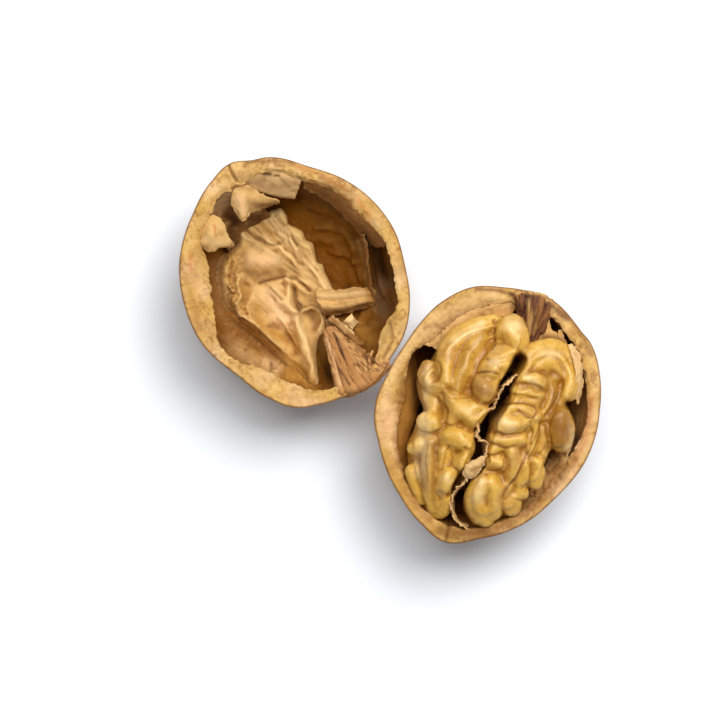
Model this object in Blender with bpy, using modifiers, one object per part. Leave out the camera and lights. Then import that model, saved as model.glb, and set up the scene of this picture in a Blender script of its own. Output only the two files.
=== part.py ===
"""A cracked walnut as it lies: an empty half-shell and, touching it, the half that still holds the kernel.

The origin is on the surface under the middle of the pair, +Z up. Plan points are (x, y) pairs with y
running down, 264 of whose units are the nut's length. Both halves lie open side up on a small flat spot.
"""

import math

import bmesh
import bpy
from mathutils import Vector, noise

NUT_LENGTH = 0.040
PLAN_UNIT = NUT_LENGTH / 264
PLAN_ORIGIN = (390, 349.5)
MM = 0.001

RIM_HEIGHT = 16.5 * MM
BODY_DEPTH = 17.1 * MM
HALF_LENGTH = 19.3 * MM
HALF_WIDTH = 16.6 * MM
ROUNDNESS = 2.2
WALL_AT_RIM = 1.8 * MM
WALL_AT_BOTTOM = 1.5 * MM
SEAM_FLARE = 0.55 * MM
RIM_ROUNDING = 0.35 * MM
LEDGE_DEPTH = 4.5 * MM
FURROW_DEPTH = 0.5 * MM
CRACK_WIDTH = 0.5 * MM
CLEARANCE = 0.3 * MM

SHELL_SEGMENTS = 64
SHELL_OUTER_ROWS = 12
SHELL_RIM_ROWS = 3
SHELL_INNER_ROWS = 11

KERNEL_CROWN = 7.0 * MM
KERNEL_EDGE_DROP = 3.0 * MM
KERNEL_VALLEY = 3.2 * MM
KERNEL_VOXEL = 0.38 * MM
KERNEL_TRIANGLES = 5200
LARGEST_FOLD = 2.4 * MM
FOLD_DROP = 1.3 * MM
FOLD_ROUNDNESS = 0.7
FOLD_MELT = 0.12 * MM
SEPTUM_THICKNESS = 0.6 * MM
SEPTUM_DEPTH = 6.0 * MM
SEPTUM_SINK = 2.2 * MM
SEPTUM_ROOM = 1.4 * MM

PARTITION_VOXEL = 0.42 * MM
PARTITION_TRIANGLES = 1700

# The outer and inner edges of each rim, with the tip and the stem end of the nut.
HALVES = {
    "empty": {
        "centre": (294, 283),
        "tip": (229, 163),
        "stem": (357, 392),
        "outer": [
            (230, 163), (251, 160), (272, 157), (308, 166), (344, 179), (379, 207), (395, 231), (405, 265),
            (410, 303), (405, 333), (391, 358), (382, 374), (368, 388), (351, 394), (319, 405), (295, 408),
            (272, 400), (236, 375), (201, 343), (184, 305), (179, 263), (192, 215), (213, 179),
        ],
        "inner": [
            (242, 186), (263, 172), (297, 179), (336, 193), (367, 220), (388, 247), (395, 280), (397, 306),
            (390, 317), (379, 335), (379, 350), (374, 365), (365, 379), (353, 387), (322, 390), (299, 386),
            (265, 370), (226, 354), (213, 306), (208, 265), (200, 241), (209, 215), (219, 197),
        ],
    },
    "kernel": {
        "centre": (488, 415),
        "tip": (446, 543),
        "stem": (536, 293),
        "outer": [
            (534, 293), (553, 300), (580, 329), (592, 345), (601, 382), (600, 411), (587, 459), (556, 498),
            (514, 529), (480, 539), (446, 543), (422, 525), (398, 493), (379, 446), (374, 421), (376, 400),
            (385, 378), (394.5, 360), (405, 344), (420, 323), (437, 305), (472, 287), (503, 287), (528, 291),
        ],
        "inner": [
            (530, 299), (545, 302), (562, 320), (581, 354), (587, 396), (588, 416), (577, 446), (562, 473),
            (542, 495), (521, 512), (496, 523), (471, 530), (453, 527), (431, 519), (413, 494), (401, 464),
            (397, 436), (403, 400), (406, 375), (413, 354), (428, 344), (441, 334), (459, 318), (484, 307),
            (503, 302), (516, 299),
        ],
    },
}

LEFT_LOBE = [
    (512, 314), (524, 320), (527, 331), (517, 354), (503, 378), (492, 402), (476, 426), (474, 446), (465, 468),
    (449, 496), (448, 512), (439, 518), (429, 514), (417, 493), (408, 464), (408, 445), (415, 430), (424, 410),
    (419, 375), (431, 361), (444, 341), (467, 323), (485, 317),
]
RIGHT_LOBE = [
    (548, 344), (562, 346), (571, 353), (578, 364), (580, 380), (568, 402), (575, 420), (572, 445), (553, 450),
    (542, 470), (538, 482), (526, 493), (520, 510), (508, 517), (490, 522), (476, 527), (467, 520), (465, 498),
    (473, 479), (484, 466), (488, 436), (493, 418), (510, 396), (514, 382), (523, 364), (537, 347),
]
# Each fold of the kernel is a row of balls, (x, y, radius), in sixths of a plan unit from KERNEL_CORNER.
KERNEL_CORNER = (370, 280)
FOLDS = {
    "crown_knob": [(850, 285, 98), (885, 330, 80), (872, 395, 62)],
    "crown_side": [(790, 270, 62), (770, 320, 45)],
    "second_fold": [(852, 428, 58), (775, 436, 58), (705, 475, 44)],
    "third_fold": [(800, 500, 56), (725, 520, 60), (668, 535, 40)],
    "fourth_fold": [(806, 560, 38), (760, 560, 42)],
    "dark_knob": [(676, 628, 78), (690, 670, 80)],
    "outer_ridge": [
        (712, 250, 38), (650, 270, 48), (575, 310, 54), (505, 360, 58), (465, 425, 56), (455, 500, 50),
        (452, 590, 44),
    ],
    "left_hook": [(342, 515, 46), (325, 570, 44), (352, 620, 44), (410, 642, 42)],
    "middle_ridge": [(655, 385, 40), (605, 430, 44), (565, 495, 46), (535, 565, 42), (512, 632, 36)],
    "left_slope": [(372, 700, 42), (385, 770, 38)],
    "star_left": [(448, 700, 34), (490, 728, 50), (530, 755, 58)],
    "star_right": [(640, 728, 38), (590, 740, 50), (550, 765, 56)],
    "star_foot": [(520, 780, 52), (560, 820, 52), (610, 852, 44)],
    "star_lower_left": [(500, 790, 48), (462, 840, 44)],
    "star_edge": [(690, 780, 36), (655, 830, 34)],
    "left_knob": [(330, 845, 60), (360, 862, 58)],
    "lower_plate": [(470, 925, 48), (545, 930, 54), (602, 965, 46), (605, 1020, 38)],
    "side_knob": [(540, 1098, 46), (562, 1072, 34)],
    "left_bead": [(270, 1015, 44), (300, 1005, 36)],
    "left_bulge": [(252, 1150, 48), (285, 1230, 42), (310, 1300, 36)],
    "long_ridge": [(350, 975, 32), (345, 1080, 33), (352, 1180, 32), (362, 1280, 32), (384, 1360, 36)],
    "inner_valley": [(428, 1020, 40), (425, 1100, 38)],
    "bright_knob": [(446, 1190, 58), (432, 1228, 56)],
    "foot": [(462, 1300, 42), (440, 1370, 44), (400, 1400, 36)],
    "arch": [
        (895, 545, 46), (925, 490, 56), (985, 435, 60), (1065, 415, 62), (1140, 432, 58), (1195, 492, 52),
        (1215, 565, 48), (1208, 640, 46), (1190, 700, 42),
    ],
    "first_band": [(885, 580, 44), (950, 578, 48), (1015, 600, 40)],
    "second_band": [(862, 648, 42), (925, 652, 44), (985, 676, 34)],
    "third_band": [(850, 704, 34), (912, 712, 34), (980, 735, 34)],
    "knuckle": [(965, 765, 34), (1005, 790, 32)],
    "valley_ridge": [(1090, 590, 32), (1085, 680, 32), (1072, 755, 32), (1045, 810, 28)],
    "right_flank": [(1150, 655, 34), (1132, 735, 34), (1112, 795, 32)],
    "right_knob": [(1150, 838, 58), (1170, 900, 68), (1162, 970, 62)],
    "big_knob": [(778, 852, 70), (830, 802, 66), (898, 820, 62), (948, 842, 44)],
    "under_band": [(752, 925, 46), (830, 930, 54), (900, 935, 44)],
    "seam_bead": [(736, 1008, 44), (776, 1000, 34)],
    "lower_seam_bead": [(732, 1088, 44), (780, 1098, 38)],
    "thin_ridge": [(985, 880, 26), (972, 960, 26), (948, 1020, 26)],
    "right_thin_ridge": [(1040, 905, 30), (1035, 970, 32), (1040, 1015, 32)],
    "centre_ridge": [(848, 1025, 42), (868, 1095, 40), (850, 1165, 38)],
    "fan_left": [(935, 1070, 30), (940, 1140, 34), (905, 1200, 36)],
    "fan_right": [(990, 1070, 32), (1015, 1130, 40), (995, 1192, 48)],
    "bottom_lobe": [
        (655, 1195, 44), (605, 1262, 46), (618, 1335, 62), (672, 1395, 68), (712, 1330, 72), (690, 1255, 62),
    ],
    "bottom_edge": [(700, 1450, 46), (755, 1405, 42)],
    "bottom_side": [(760, 1215, 42), (790, 1290, 42)],
    "low_knob": [(848, 1362, 56), (872, 1318, 42)],
    "low_bead": [(882, 1262, 42), (930, 1270, 34)],
}
BRIDGE_ROUTE = [(455, 468), (467, 476), (482, 484)]
BRIDGE_RADIUS = 2.6
BRIDGE_SINK = 9.6 * MM
SEPTUM_ROUTE = [
    (521, 361), (513, 373), (505, 386), (498, 399), (488, 413), (481, 427), (480, 441), (479, 454), (474, 465),
    (467, 476), (460, 490), (456, 504), (457, 517),
]

PARTITION_PLATE = [
    (231, 226), (245, 214), (261, 206), (279, 208), (291, 222), (305, 231), (316, 248), (326, 268), (333, 286),
    (332, 300), (324, 314), (318, 328), (316, 344), (313, 364), (306, 378), (288, 366), (270, 354), (250, 340),
    (228, 322), (215, 303), (213, 280), (216, 253),
]
PARTITION_CENTRE = (276, 285)
PARTITION_RISE = 1.9
# Swells of the partition: half width and rise in millimetres, and the route in plan.
PARTITION_SWELLS = {
    "torn_edge": (1.6, 1.6, [(283, 214), (298, 232), (309, 250), (320, 271), (326, 286)]),
    "spine": (0.9, 1.3, [(262, 214), (276, 234), (290, 256), (304, 277), (319, 291)]),
    "upper_crease": (0.8, 0.9, [(228, 276), (246, 280), (265, 279), (281, 274), (294, 277), (304, 287)]),
    "sharp_ridge": (0.8, 1.6, [(279, 281), (282, 290), (287, 302), (294, 315), (301, 329), (304, 345), (305, 364)]),
    "swelling": (2.6, 1.2, [(262, 296), (272, 306), (283, 318)]),
    "hollow_rim": (0.7, 1.4, [(304, 311), (314, 308), (322, 315), (319, 328)]),
    "upper_left_swelling": (2.2, 0.8, [(240, 240), (236, 256), (240, 268)]),
    "dip_between": (1.3, -0.7, [(262, 290), (250, 296), (240, 306)]),
    "lower_dip": (1.5, -0.8, [(278, 336), (290, 350)]),
}
CROSS_RIBS = {
    "cross_rib": (0.95, 3.6, [(310, 299), (326, 297), (344, 295), (358, 293), (366, 294)]),
    "upper_cross_rib": (0.6, 4.2, [(312, 292), (330, 289), (346, 290)]),
}
FIBRES_OUTLINE = [
    (322, 334), (331, 330), (340, 333), (349, 342), (361, 355), (372, 362), (378, 366), (366, 384), (354, 392),
    (342, 392), (338, 378), (333, 364), (326, 348),
]
TOP_FLAP_OUTLINE = [(251, 168), (265, 164), (283, 168), (303, 175), (299, 195), (279, 196), (256, 193), (247, 187)]
TIP_FOLD_OUTLINE = [
    (229, 190), (240, 188), (251, 197), (262, 200), (277, 202), (262, 207), (251, 212), (242, 222),
    (236, 216), (226, 206),
]
SIDE_FLAP_OUTLINE = [(205, 217), (221, 218), (227, 228), (233, 244), (224, 243), (212, 250), (198, 251), (196, 232)]
STEM_WEDGE_OUTLINE = [
    (514, 294), (530, 294), (546, 298), (550, 309), (545, 318), (539, 329), (533, 345), (527, 353), (524, 345),
    (530, 334), (532, 322), (526, 311), (518, 306),
]
RIGHT_LINING_OUTLINE = [
    (554, 306), (566, 318), (580, 336), (586, 352), (572, 347), (560, 341), (549, 340), (541, 342), (538, 337),
    (545, 326), (551, 316),
]

# Colour, roughness and metallic value of each finish.
FINISHES = {
    "shell": ((0.62, 0.40, 0.19), 0.75),
    "kernel": ((0.66, 0.40, 0.12), 0.42),
    "septum": ((0.58, 0.38, 0.19), 0.7),
    "lining": ((0.60, 0.38, 0.18), 0.7),
    "fibres": ((0.50, 0.28, 0.13), 0.8),
    "dark_fibres": ((0.16, 0.08, 0.05), 0.8),
}


def plan(point):
    """A plan point as metres across the surface."""
    x = (point[0] - PLAN_ORIGIN[0]) * PLAN_UNIT
    y = (PLAN_ORIGIN[1] - point[1]) * PLAN_UNIT
    return Vector((x, y))


def smoothstep(low, high, value):
    share = min(1.0, max(0.0, (value - low) / (high - low)))
    return share * share * (3 - 2 * share)


def blend(first, second, share):
    return first + (second - first) * share


def through(a, b, c, d, share):
    """The smooth curve through b and c, which a and d lead into and out of."""
    square = share * share
    cube = square * share
    return 0.5 * (2 * b + (c - a) * share + (2 * a - 5 * b + 4 * c - d) * square + (3 * b - a - 3 * c + d) * cube)


class Outline:
    """A closed outline round a centre, as a radius for every angle."""

    def __init__(self, centre, points):
        self.centre = plan(centre)
        arms = [plan(point) - self.centre for point in points]
        self.knots = sorted((math.atan2(arm.y, arm.x), arm.length) for arm in arms)

    def radius(self, angle):
        angle = (angle + math.pi) % math.tau - math.pi
        knots = self.knots
        count = len(knots)
        after = next((i for i, knot in enumerate(knots) if knot[0] > angle), count)
        around = [knots[(after + step) % count] for step in (-2, -1, 0, 1)]
        width = (around[2][0] - around[1][0]) % math.tau
        share = ((angle - around[1][0]) % math.tau) / width
        return through(*(knot[1] for knot in around), share)


class Half:
    """One half-shell: its rim outlines, its axis and the formulas of its outer and inner surface."""

    def __init__(self, centre, tip, stem, outer, inner):
        self.centre = plan(centre)
        self.outer = Outline(centre, outer)
        self.inner = Outline(centre, inner)
        self.tip = plan(tip)
        self.axis = (plan(stem) - self.tip).normalized()
        self.axis_angle = math.atan2(self.axis.y, self.axis.x)

    def body_radius(self, angle):
        """The plain oval that the half-shell turns into below its rim."""
        turned = angle - self.axis_angle
        return 1 / math.hypot(math.cos(turned) / HALF_LENGTH, math.sin(turned) / HALF_WIDTH)

    def wall_radius(self, angle):
        """The inner wall's radius below the rim's ledge."""
        return blend(self.outer.radius(angle), self.body_radius(angle), 0.5) - WALL_AT_RIM

    def ledge(self, angle):
        """How far the lining stands in from the wall at the rim."""
        return max(0.0, self.wall_radius(angle) - self.inner.radius(angle))

    def floor(self, point):
        """The height of the bowl's inner surface under a point."""
        arm = point - self.centre
        share = min(1.0, arm.length / self.wall_radius(math.atan2(arm.y, arm.x)))
        depth = RIM_HEIGHT - WALL_AT_BOTTOM
        return RIM_HEIGHT - depth * (1 - share**ROUNDNESS) ** (1 / ROUNDNESS)

    def outer_point(self, angle, down):
        """A point of the outer surface, from down 0 at the rim to 1 at the bottom."""
        turn = down * math.pi / 2
        depth = BODY_DEPTH * math.sin(turn) ** (2 / ROUNDNESS)
        rim = self.outer.radius(angle) - SEAM_FLARE * smoothstep(0.3 * MM, 2.4 * MM, depth)
        oval = max(0.0, math.cos(turn)) ** (2 / ROUNDNESS)
        radius = blend(rim, self.body_radius(angle), smoothstep(0, 0.6, down)) * oval
        outward = Vector((math.cos(angle) * math.cos(turn), math.sin(angle) * math.cos(turn), -math.sin(turn)))
        place = Vector((math.cos(angle) * radius, math.sin(angle) * radius, RIM_HEIGHT - depth))
        place += outward * self.furrows(place) * smoothstep(0, 2 * MM, depth)
        place.z = max(0.0, place.z)
        return place + self.centre.to_3d()

    def furrows(self, place):
        """The net of furrows on the outside, stretched along the nut, which fades out over the flat spot."""
        along = place.x * self.axis.x + place.y * self.axis.y
        across = place.y * self.axis.x - place.x * self.axis.y
        where = Vector((along / (9 * MM), across / (4 * MM), place.z / (4 * MM)))
        groove = math.exp(-((noise.noise(where) / 0.16) ** 2))
        swell = noise.noise(where * 0.6 + Vector((7, 3, 1)))
        fade = smoothstep(4 * MM, 8 * MM, math.hypot(place.x, place.y))
        return fade * FURROW_DEPTH * (0.7 * swell - groove)

    def inner_point(self, angle, down):
        """A point of the inner surface, from down 0 under the rim to 1 at the bottom of the bowl."""
        turn = down * math.pi / 2
        start = self.bevel(angle)
        depth = start + (RIM_HEIGHT - WALL_AT_BOTTOM - start) * math.sin(turn) ** (2 / ROUNDNESS)
        radius = self.wall_radius(angle) * max(0.0, math.cos(turn)) ** (2 / ROUNDNESS)
        radius -= self.ledge(angle) * (1 - smoothstep(start, start + LEDGE_DEPTH, depth))
        place = Vector((math.cos(angle) * radius, math.sin(angle) * radius, RIM_HEIGHT - depth))
        return place + self.centre.to_3d()

    def bevel(self, angle):
        """How far the rim has sloped down at its inner edge."""
        return 0.3 * MM + 0.35 * self.ledge(angle)

    def rim_point(self, angle, across):
        """A point of the broken rim, from across 0 at its outer edge to 1 at its inner one."""
        outer = self.outer.radius(angle)
        inner = self.wall_radius(angle) - self.ledge(angle)
        stops = [
            (outer, RIM_ROUNDING),
            (outer - RIM_ROUNDING, 0.0),
            (max(inner + 0.3 * MM, outer - 1.9 * MM), 0.05 * MM),
            (inner, self.bevel(angle)),
        ]
        step = min(2, int(across * 3))
        share = across * 3 - step
        radius = blend(stops[step][0], stops[step + 1][0], share)
        depth = blend(stops[step][1], stops[step + 1][1], share)
        place = Vector((math.cos(angle) * radius, math.sin(angle) * radius, RIM_HEIGHT - depth))
        return place + self.centre.to_3d()


def finish_of(name):
    """The material of one finish, made the first time that it is asked for."""
    material = bpy.data.materials.get(name)
    if material is None:
        colour, roughness = FINISHES[name]
        material = bpy.data.materials.new(name)
        material.use_nodes = True
        shader = material.node_tree.nodes["Principled BSDF"]
        shader.inputs["Base Color"].default_value = (*colour, 1)
        shader.inputs["Roughness"].default_value = roughness
        shader.inputs["Metallic"].default_value = 0.0
    return material


def add_object(name, mesh_maker, collection, finish=None):
    """An object whose mesh is what mesh_maker puts into a bmesh."""
    mesh = bpy.data.meshes.new(name)
    shape = bmesh.new()
    mesh_maker(shape)
    bmesh.ops.recalc_face_normals(shape, faces=shape.faces)
    shape.to_mesh(mesh)
    shape.free()
    mesh.shade_smooth()
    made = bpy.data.objects.new(name, mesh)
    collection.objects.link(made)
    if finish:
        mesh.materials.append(finish_of(finish))
    else:
        made.hide_render = True
        made.display_type = "WIRE"
    return made


def folded_sphere(shape, segments, rows, place):
    """A sphere whose every vertex goes where place(angle, share) puts it, share running from pole to pole."""
    made = bmesh.ops.create_uvsphere(shape, u_segments=segments, v_segments=rows, radius=1)
    for vertex in made["verts"]:
        x, y, z = vertex.co
        share = 0.5 + math.asin(max(-1.0, min(1.0, z))) / math.pi
        vertex.co = place(math.atan2(y, x), share)


def shell_surface(half):
    """The place of every point of a half-shell, from the bottom outside over the rim to the bottom inside."""
    rows = SHELL_OUTER_ROWS + SHELL_RIM_ROWS + SHELL_INNER_ROWS

    def place(angle, share):
        row = share * rows
        if row < SHELL_OUTER_ROWS:
            rise = row / SHELL_OUTER_ROWS
            return half.outer_point(angle, 1 - rise) - Vector((0, 0, RIM_ROUNDING * rise**8))
        if row <= SHELL_OUTER_ROWS + SHELL_RIM_ROWS:
            return half.rim_point(angle, (row - SHELL_OUTER_ROWS) / SHELL_RIM_ROWS)
        return half.inner_point(angle, (row - SHELL_OUTER_ROWS - SHELL_RIM_ROWS) / SHELL_INNER_ROWS)

    return lambda shape: folded_sphere(shape, SHELL_SEGMENTS, rows, place)


def pad(centre, points, top, bottom, segments=40, rows=12):
    """A closed flat body inside an outline: top and bottom give its height at a point in plan."""
    outline = Outline(centre, points)

    def place(angle, share):
        lean = abs(share - 0.5) * math.pi
        reach = math.cos(lean) ** 0.7
        spot = outline.centre + Vector((math.cos(angle), math.sin(angle))) * outline.radius(angle) * reach
        middle = (top(spot) + bottom(spot)) / 2
        surface = top(spot) if share > 0.5 else bottom(spot)
        return Vector((spot.x, spot.y, blend(middle, surface, min(1.0, math.sin(lean) * 1.8))))

    return lambda shape: folded_sphere(shape, segments, rows, place)


def route_points(route, spacing):
    """Evenly spaced points along the smooth curve through a route, as pairs of share and place."""
    stops = [plan(point) for point in route]
    stops = [2 * stops[0] - stops[1], *stops, 2 * stops[-1] - stops[-2]]
    found = []
    for i in range(1, len(stops) - 2):
        steps = max(1, round((stops[i + 1] - stops[i]).length / spacing))
        found += [through(*stops[i - 1 : i + 3], step / steps) for step in range(steps)]
    return [*found, stops[-2]]


def tube(route, radius, height):
    """A round ridge along a route, as a row of overlapping balls. height(point) is its centre's."""

    def put(shape):
        for spot in route_points(route, radius * 0.45):
            ball = bmesh.ops.create_icosphere(shape, subdivisions=2, radius=radius)
            bmesh.ops.translate(shape, verts=ball["verts"], vec=(spot.x, spot.y, height(spot)))

    return put


def fold_stops(balls):
    """The balls of a fold as vectors of plan place and radius."""
    return [
        Vector((*plan((KERNEL_CORNER[0] + x / 6, KERNEL_CORNER[1] + y / 6)), radius / 6 * PLAN_UNIT))
        for x, y, radius in balls
    ]


def fold(balls, crest_height):
    """A fold of the kernel: balls of changing size in a row, whose tops follow crest_height(point, radius)."""
    stops = fold_stops(balls)
    stops = [2 * stops[0] - stops[1], *stops, 2 * stops[-1] - stops[-2]]

    def put(shape):
        for i in range(1, len(stops) - 2):
            gap = (stops[i + 1] - stops[i]).xy.length
            steps = max(1, round(gap / (0.4 * stops[i].z)))
            for step in range(steps + 1):
                x, y, radius = through(*stops[i - 1 : i + 3], step / steps)
                ball = bmesh.ops.create_icosphere(shape, subdivisions=2, radius=radius)
                lift = crest_height(Vector((x, y)), radius) - radius
                bmesh.ops.translate(shape, verts=ball["verts"], vec=(x, y, lift))

    return put


def sheet(route, low, high, thickness):
    """An upright sheet along a route, from low(point) to high(point)."""

    def put(shape):
        spots = route_points(route, 1.3 * MM)
        rows = 4
        bmesh.ops.create_cube(shape, size=1)
        bmesh.ops.subdivide_edges(
            shape,
            edges=[edge for edge in shape.edges if abs(edge.verts[0].co.x - edge.verts[1].co.x) > 0.5],
            cuts=len(spots) - 2,
        )
        bmesh.ops.subdivide_edges(
            shape,
            edges=[edge for edge in shape.edges if abs(edge.verts[0].co.z - edge.verts[1].co.z) > 0.5],
            cuts=rows - 1,
        )
        for vertex in shape.verts:
            index = round((vertex.co.x + 0.5) * (len(spots) - 1))
            spot = spots[index]
            ahead = spots[min(index + 1, len(spots) - 1)] - spots[max(index - 1, 0)]
            side = Vector((-ahead.y, ahead.x)).normalized() * vertex.co.y * thickness
            height = blend(low(spot), high(spot), vertex.co.z + 0.5)
            vertex.co = Vector((spot.x + side.x, spot.y + side.y, height))

    return put


def apply_modifiers(made):
    """The object's mesh with its modifiers worked in."""
    graph = bpy.context.evaluated_depsgraph_get()
    mesh = bpy.data.meshes.new_from_object(made.evaluated_get(graph))
    made.modifiers.clear()
    made.data = mesh


def fused(name, makers, voxel, triangles, collection, finish):
    """One grown body from overlapping closed shapes, melted together and smoothed."""

    def put(shape):
        for maker in makers:
            maker(shape)

    made = add_object(name, put, collection, finish)
    melt = made.modifiers.new("melt", "REMESH")
    melt.mode = "VOXEL"
    melt.voxel_size = voxel
    soften = made.modifiers.new("soften", "SMOOTH")
    soften.factor = 0.5
    soften.iterations = 2
    apply_modifiers(made)
    thin = made.modifiers.new("thin", "DECIMATE")
    thin.ratio = triangles / (2 * len(made.data.polygons))
    apply_modifiers(made)
    made.data.shade_smooth()
    return made


def cut(made, cutter):
    """Cuts the cutter out of the object."""
    room = made.modifiers.new("room", "BOOLEAN")
    room.operation = "DIFFERENCE"
    room.object = cutter


def crack_cutter(half, name, length, cutters):
    """The thin wedge of the crack that starts at the tip of a half-shell and runs in along its axis."""
    inward = half.axis
    side = Vector((-inward.y, inward.x))

    def put(shape):
        made = bmesh.ops.create_cube(shape, size=1)
        for vertex in made["verts"]:
            x, y, z = vertex.co
            spot = half.tip + inward * (-0.6 * MM + (x + 0.5) * length)
            width = CRACK_WIDTH * (1 if x < 0 else 0.3)
            spot += side * y * width
            vertex.co = Vector((spot.x, spot.y, RIM_HEIGHT + z * 3.2 * MM))

    return add_object(name, put, cutters)


def cavity(half, name, cutters):
    """The space inside a half-shell that its contents may fill, clear of the shell all round."""

    def place(angle, share):
        if share <= 0.5:
            down = 1 - share * 2
            spot = half.inner_point(angle, down) - half.centre.to_3d()
            turn = down * math.pi / 2
            shrink = 1 - 1.6 * CLEARANCE * math.cos(turn) / max(MM, spot.xy.length)
            lift = 1.2 * CLEARANCE * math.sin(turn)
            return Vector((spot.x * shrink, spot.y * shrink, spot.z + lift)) + half.centre.to_3d()
        spot = place(angle, 0.5)
        rise = min(1.0, (share - 0.5) * 4)
        pull = 1 - max(0.0, (share - 0.75) * 4)
        flat = half.centre + (spot.xy - half.centre) * pull
        return Vector((flat.x, flat.y, blend(spot.z, RIM_HEIGHT + 15 * MM, rise)))

    return add_object(name, lambda shape: folded_sphere(shape, SHELL_SEGMENTS, 2 * SHELL_INNER_ROWS, place), cutters)


def keep_inside(made, space):
    """Trims the object to the space inside its half-shell."""
    trim = made.modifiers.new("trim", "BOOLEAN")
    trim.operation = "INTERSECT"
    trim.object = space
    return made


def swollen(made, name, growth, cutters):
    """A cutter that is a copy of the object grown by growth all round."""
    copy = bpy.data.objects.new(name, made.data.copy())
    cutters.objects.link(copy)
    copy.hide_render = True
    copy.display_type = "WIRE"
    grow = copy.modifiers.new("grow", "DISPLACE")
    grow.strength = growth
    grow.mid_level = 0
    melt = copy.modifiers.new("melt", "REMESH")
    melt.mode = "VOXEL"
    melt.voxel_size = KERNEL_VOXEL
    apply_modifiers(copy)
    return copy


def kernel_dome(half):
    """The height that the kernel's crests reach over a point."""

    def height(point):
        arm = point - half.centre
        along = arm.dot(half.axis) / (19.0 * MM)
        across = (arm.x * half.axis.y - arm.y * half.axis.x) / (16.2 * MM)
        rise = math.sqrt(max(0.0, 1 - along**2 - across**2))
        return RIM_HEIGHT - KERNEL_EDGE_DROP + (KERNEL_CROWN + KERNEL_EDGE_DROP) * rise

    return height


def fold_relief():
    """How far the kernel's folds stand under its dome at a point: each falls away from its crest to meet the next."""
    lines = [fold_stops(balls) for balls in FOLDS.values()]

    def depth_under(start, end, spot):
        span = end.xy - start.xy
        share = min(1.0, max(0.0, (spot - start.xy).dot(span) / span.length_squared))
        radius = blend(start.z, end.z, share)
        part = (spot - start.xy - span * share).length / radius
        fall = part * part if part < 1 else 2 * part - 1
        return FOLD_DROP * (1 - radius / LARGEST_FOLD) + fall * radius * FOLD_ROUNDNESS

    def at(spot):
        depths = [min(depth_under(*ends, spot) for ends in zip(line, line[1:])) for line in lines]
        return FOLD_MELT * math.log(sum(math.exp(-depth / FOLD_MELT) for depth in depths) + 1e-30)

    return at


def build_kernel(half, space, collection, cutters):
    """The kernel: two folded lobes, joined low down near the tip, and the papery septum between them."""
    dome = kernel_dome(half)
    relief = fold_relief()
    top = lambda spot: dome(spot) + max(-KERNEL_VALLEY, relief(spot))
    bottom = lambda spot: half.floor(spot) + 0.6 * MM
    makers = [
        pad((456, 405), LEFT_LOBE, top, bottom, 110, 70),
        pad((528, 425), RIGHT_LOBE, top, bottom, 110, 70),
        tube(BRIDGE_ROUTE, BRIDGE_RADIUS * MM, lambda spot: RIM_HEIGHT - BRIDGE_SINK),
    ]
    crest_height = lambda spot, radius: dome(spot) - FOLD_DROP * (1 - radius / LARGEST_FOLD) - 0.25 * MM
    makers += [fold(balls, crest_height) for balls in FOLDS.values()]
    kernel = fused("kernel", makers, KERNEL_VOXEL, KERNEL_TRIANGLES, collection, "kernel")
    keep_inside(kernel, space)
    low = lambda spot: RIM_HEIGHT - SEPTUM_DEPTH
    high = lambda spot: dome(spot) - SEPTUM_SINK
    slot_low = lambda spot: RIM_HEIGHT - SEPTUM_DEPTH - 1.3 * CLEARANCE
    slot_high = lambda spot: dome(spot) + 3 * MM
    slot_route = [(524, 355), *SEPTUM_ROUTE[1:-1], (457, 522)]
    cut(kernel, add_object("septum_slot", sheet(slot_route, slot_low, slot_high, SEPTUM_ROOM), cutters))
    apply_modifiers(kernel)
    keep_inside(add_object("septum", sheet(SEPTUM_ROUTE, low, high, SEPTUM_THICKNESS), collection, "septum"), space)
    return kernel


def swell(route, width, rise):
    """The height that a rounded ridge along a route adds at a point."""
    stops = [plan(point) for point in route]

    def reach(start, end, spot):
        span = end - start
        share = min(1.0, max(0.0, (spot - start).dot(span) / span.length_squared))
        return (spot - start - span * share).length

    def at(spot):
        nearest = min(reach(start, end, spot) for start, end in zip(stops, stops[1:]))
        return rise * math.exp(-((nearest / width) ** 2))

    return at


def build_partition(half, space, collection):
    """What is left of the partition in the empty half: a torn plate, swollen and creased, with ribs across."""
    swells = [swell(route, width * MM, rise * MM) for width, rise, route in PARTITION_SWELLS.values()]
    bottom = lambda spot: half.floor(spot) + 0.5 * MM
    top = lambda spot: half.floor(spot) + PARTITION_RISE * MM + sum(add(spot) for add in swells)
    makers = [pad(PARTITION_CENTRE, PARTITION_PLATE, top, bottom, 64, 32)]
    for radius, rise, route in CROSS_RIBS.values():
        crest = radius * MM
        makers.append(tube(route, crest, lambda spot, crest=crest, rise=rise: half.floor(spot) + rise * MM - crest))
    partition = fused("partition", makers, PARTITION_VOXEL, PARTITION_TRIANGLES, collection, "lining")
    return keep_inside(partition, space)


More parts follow.
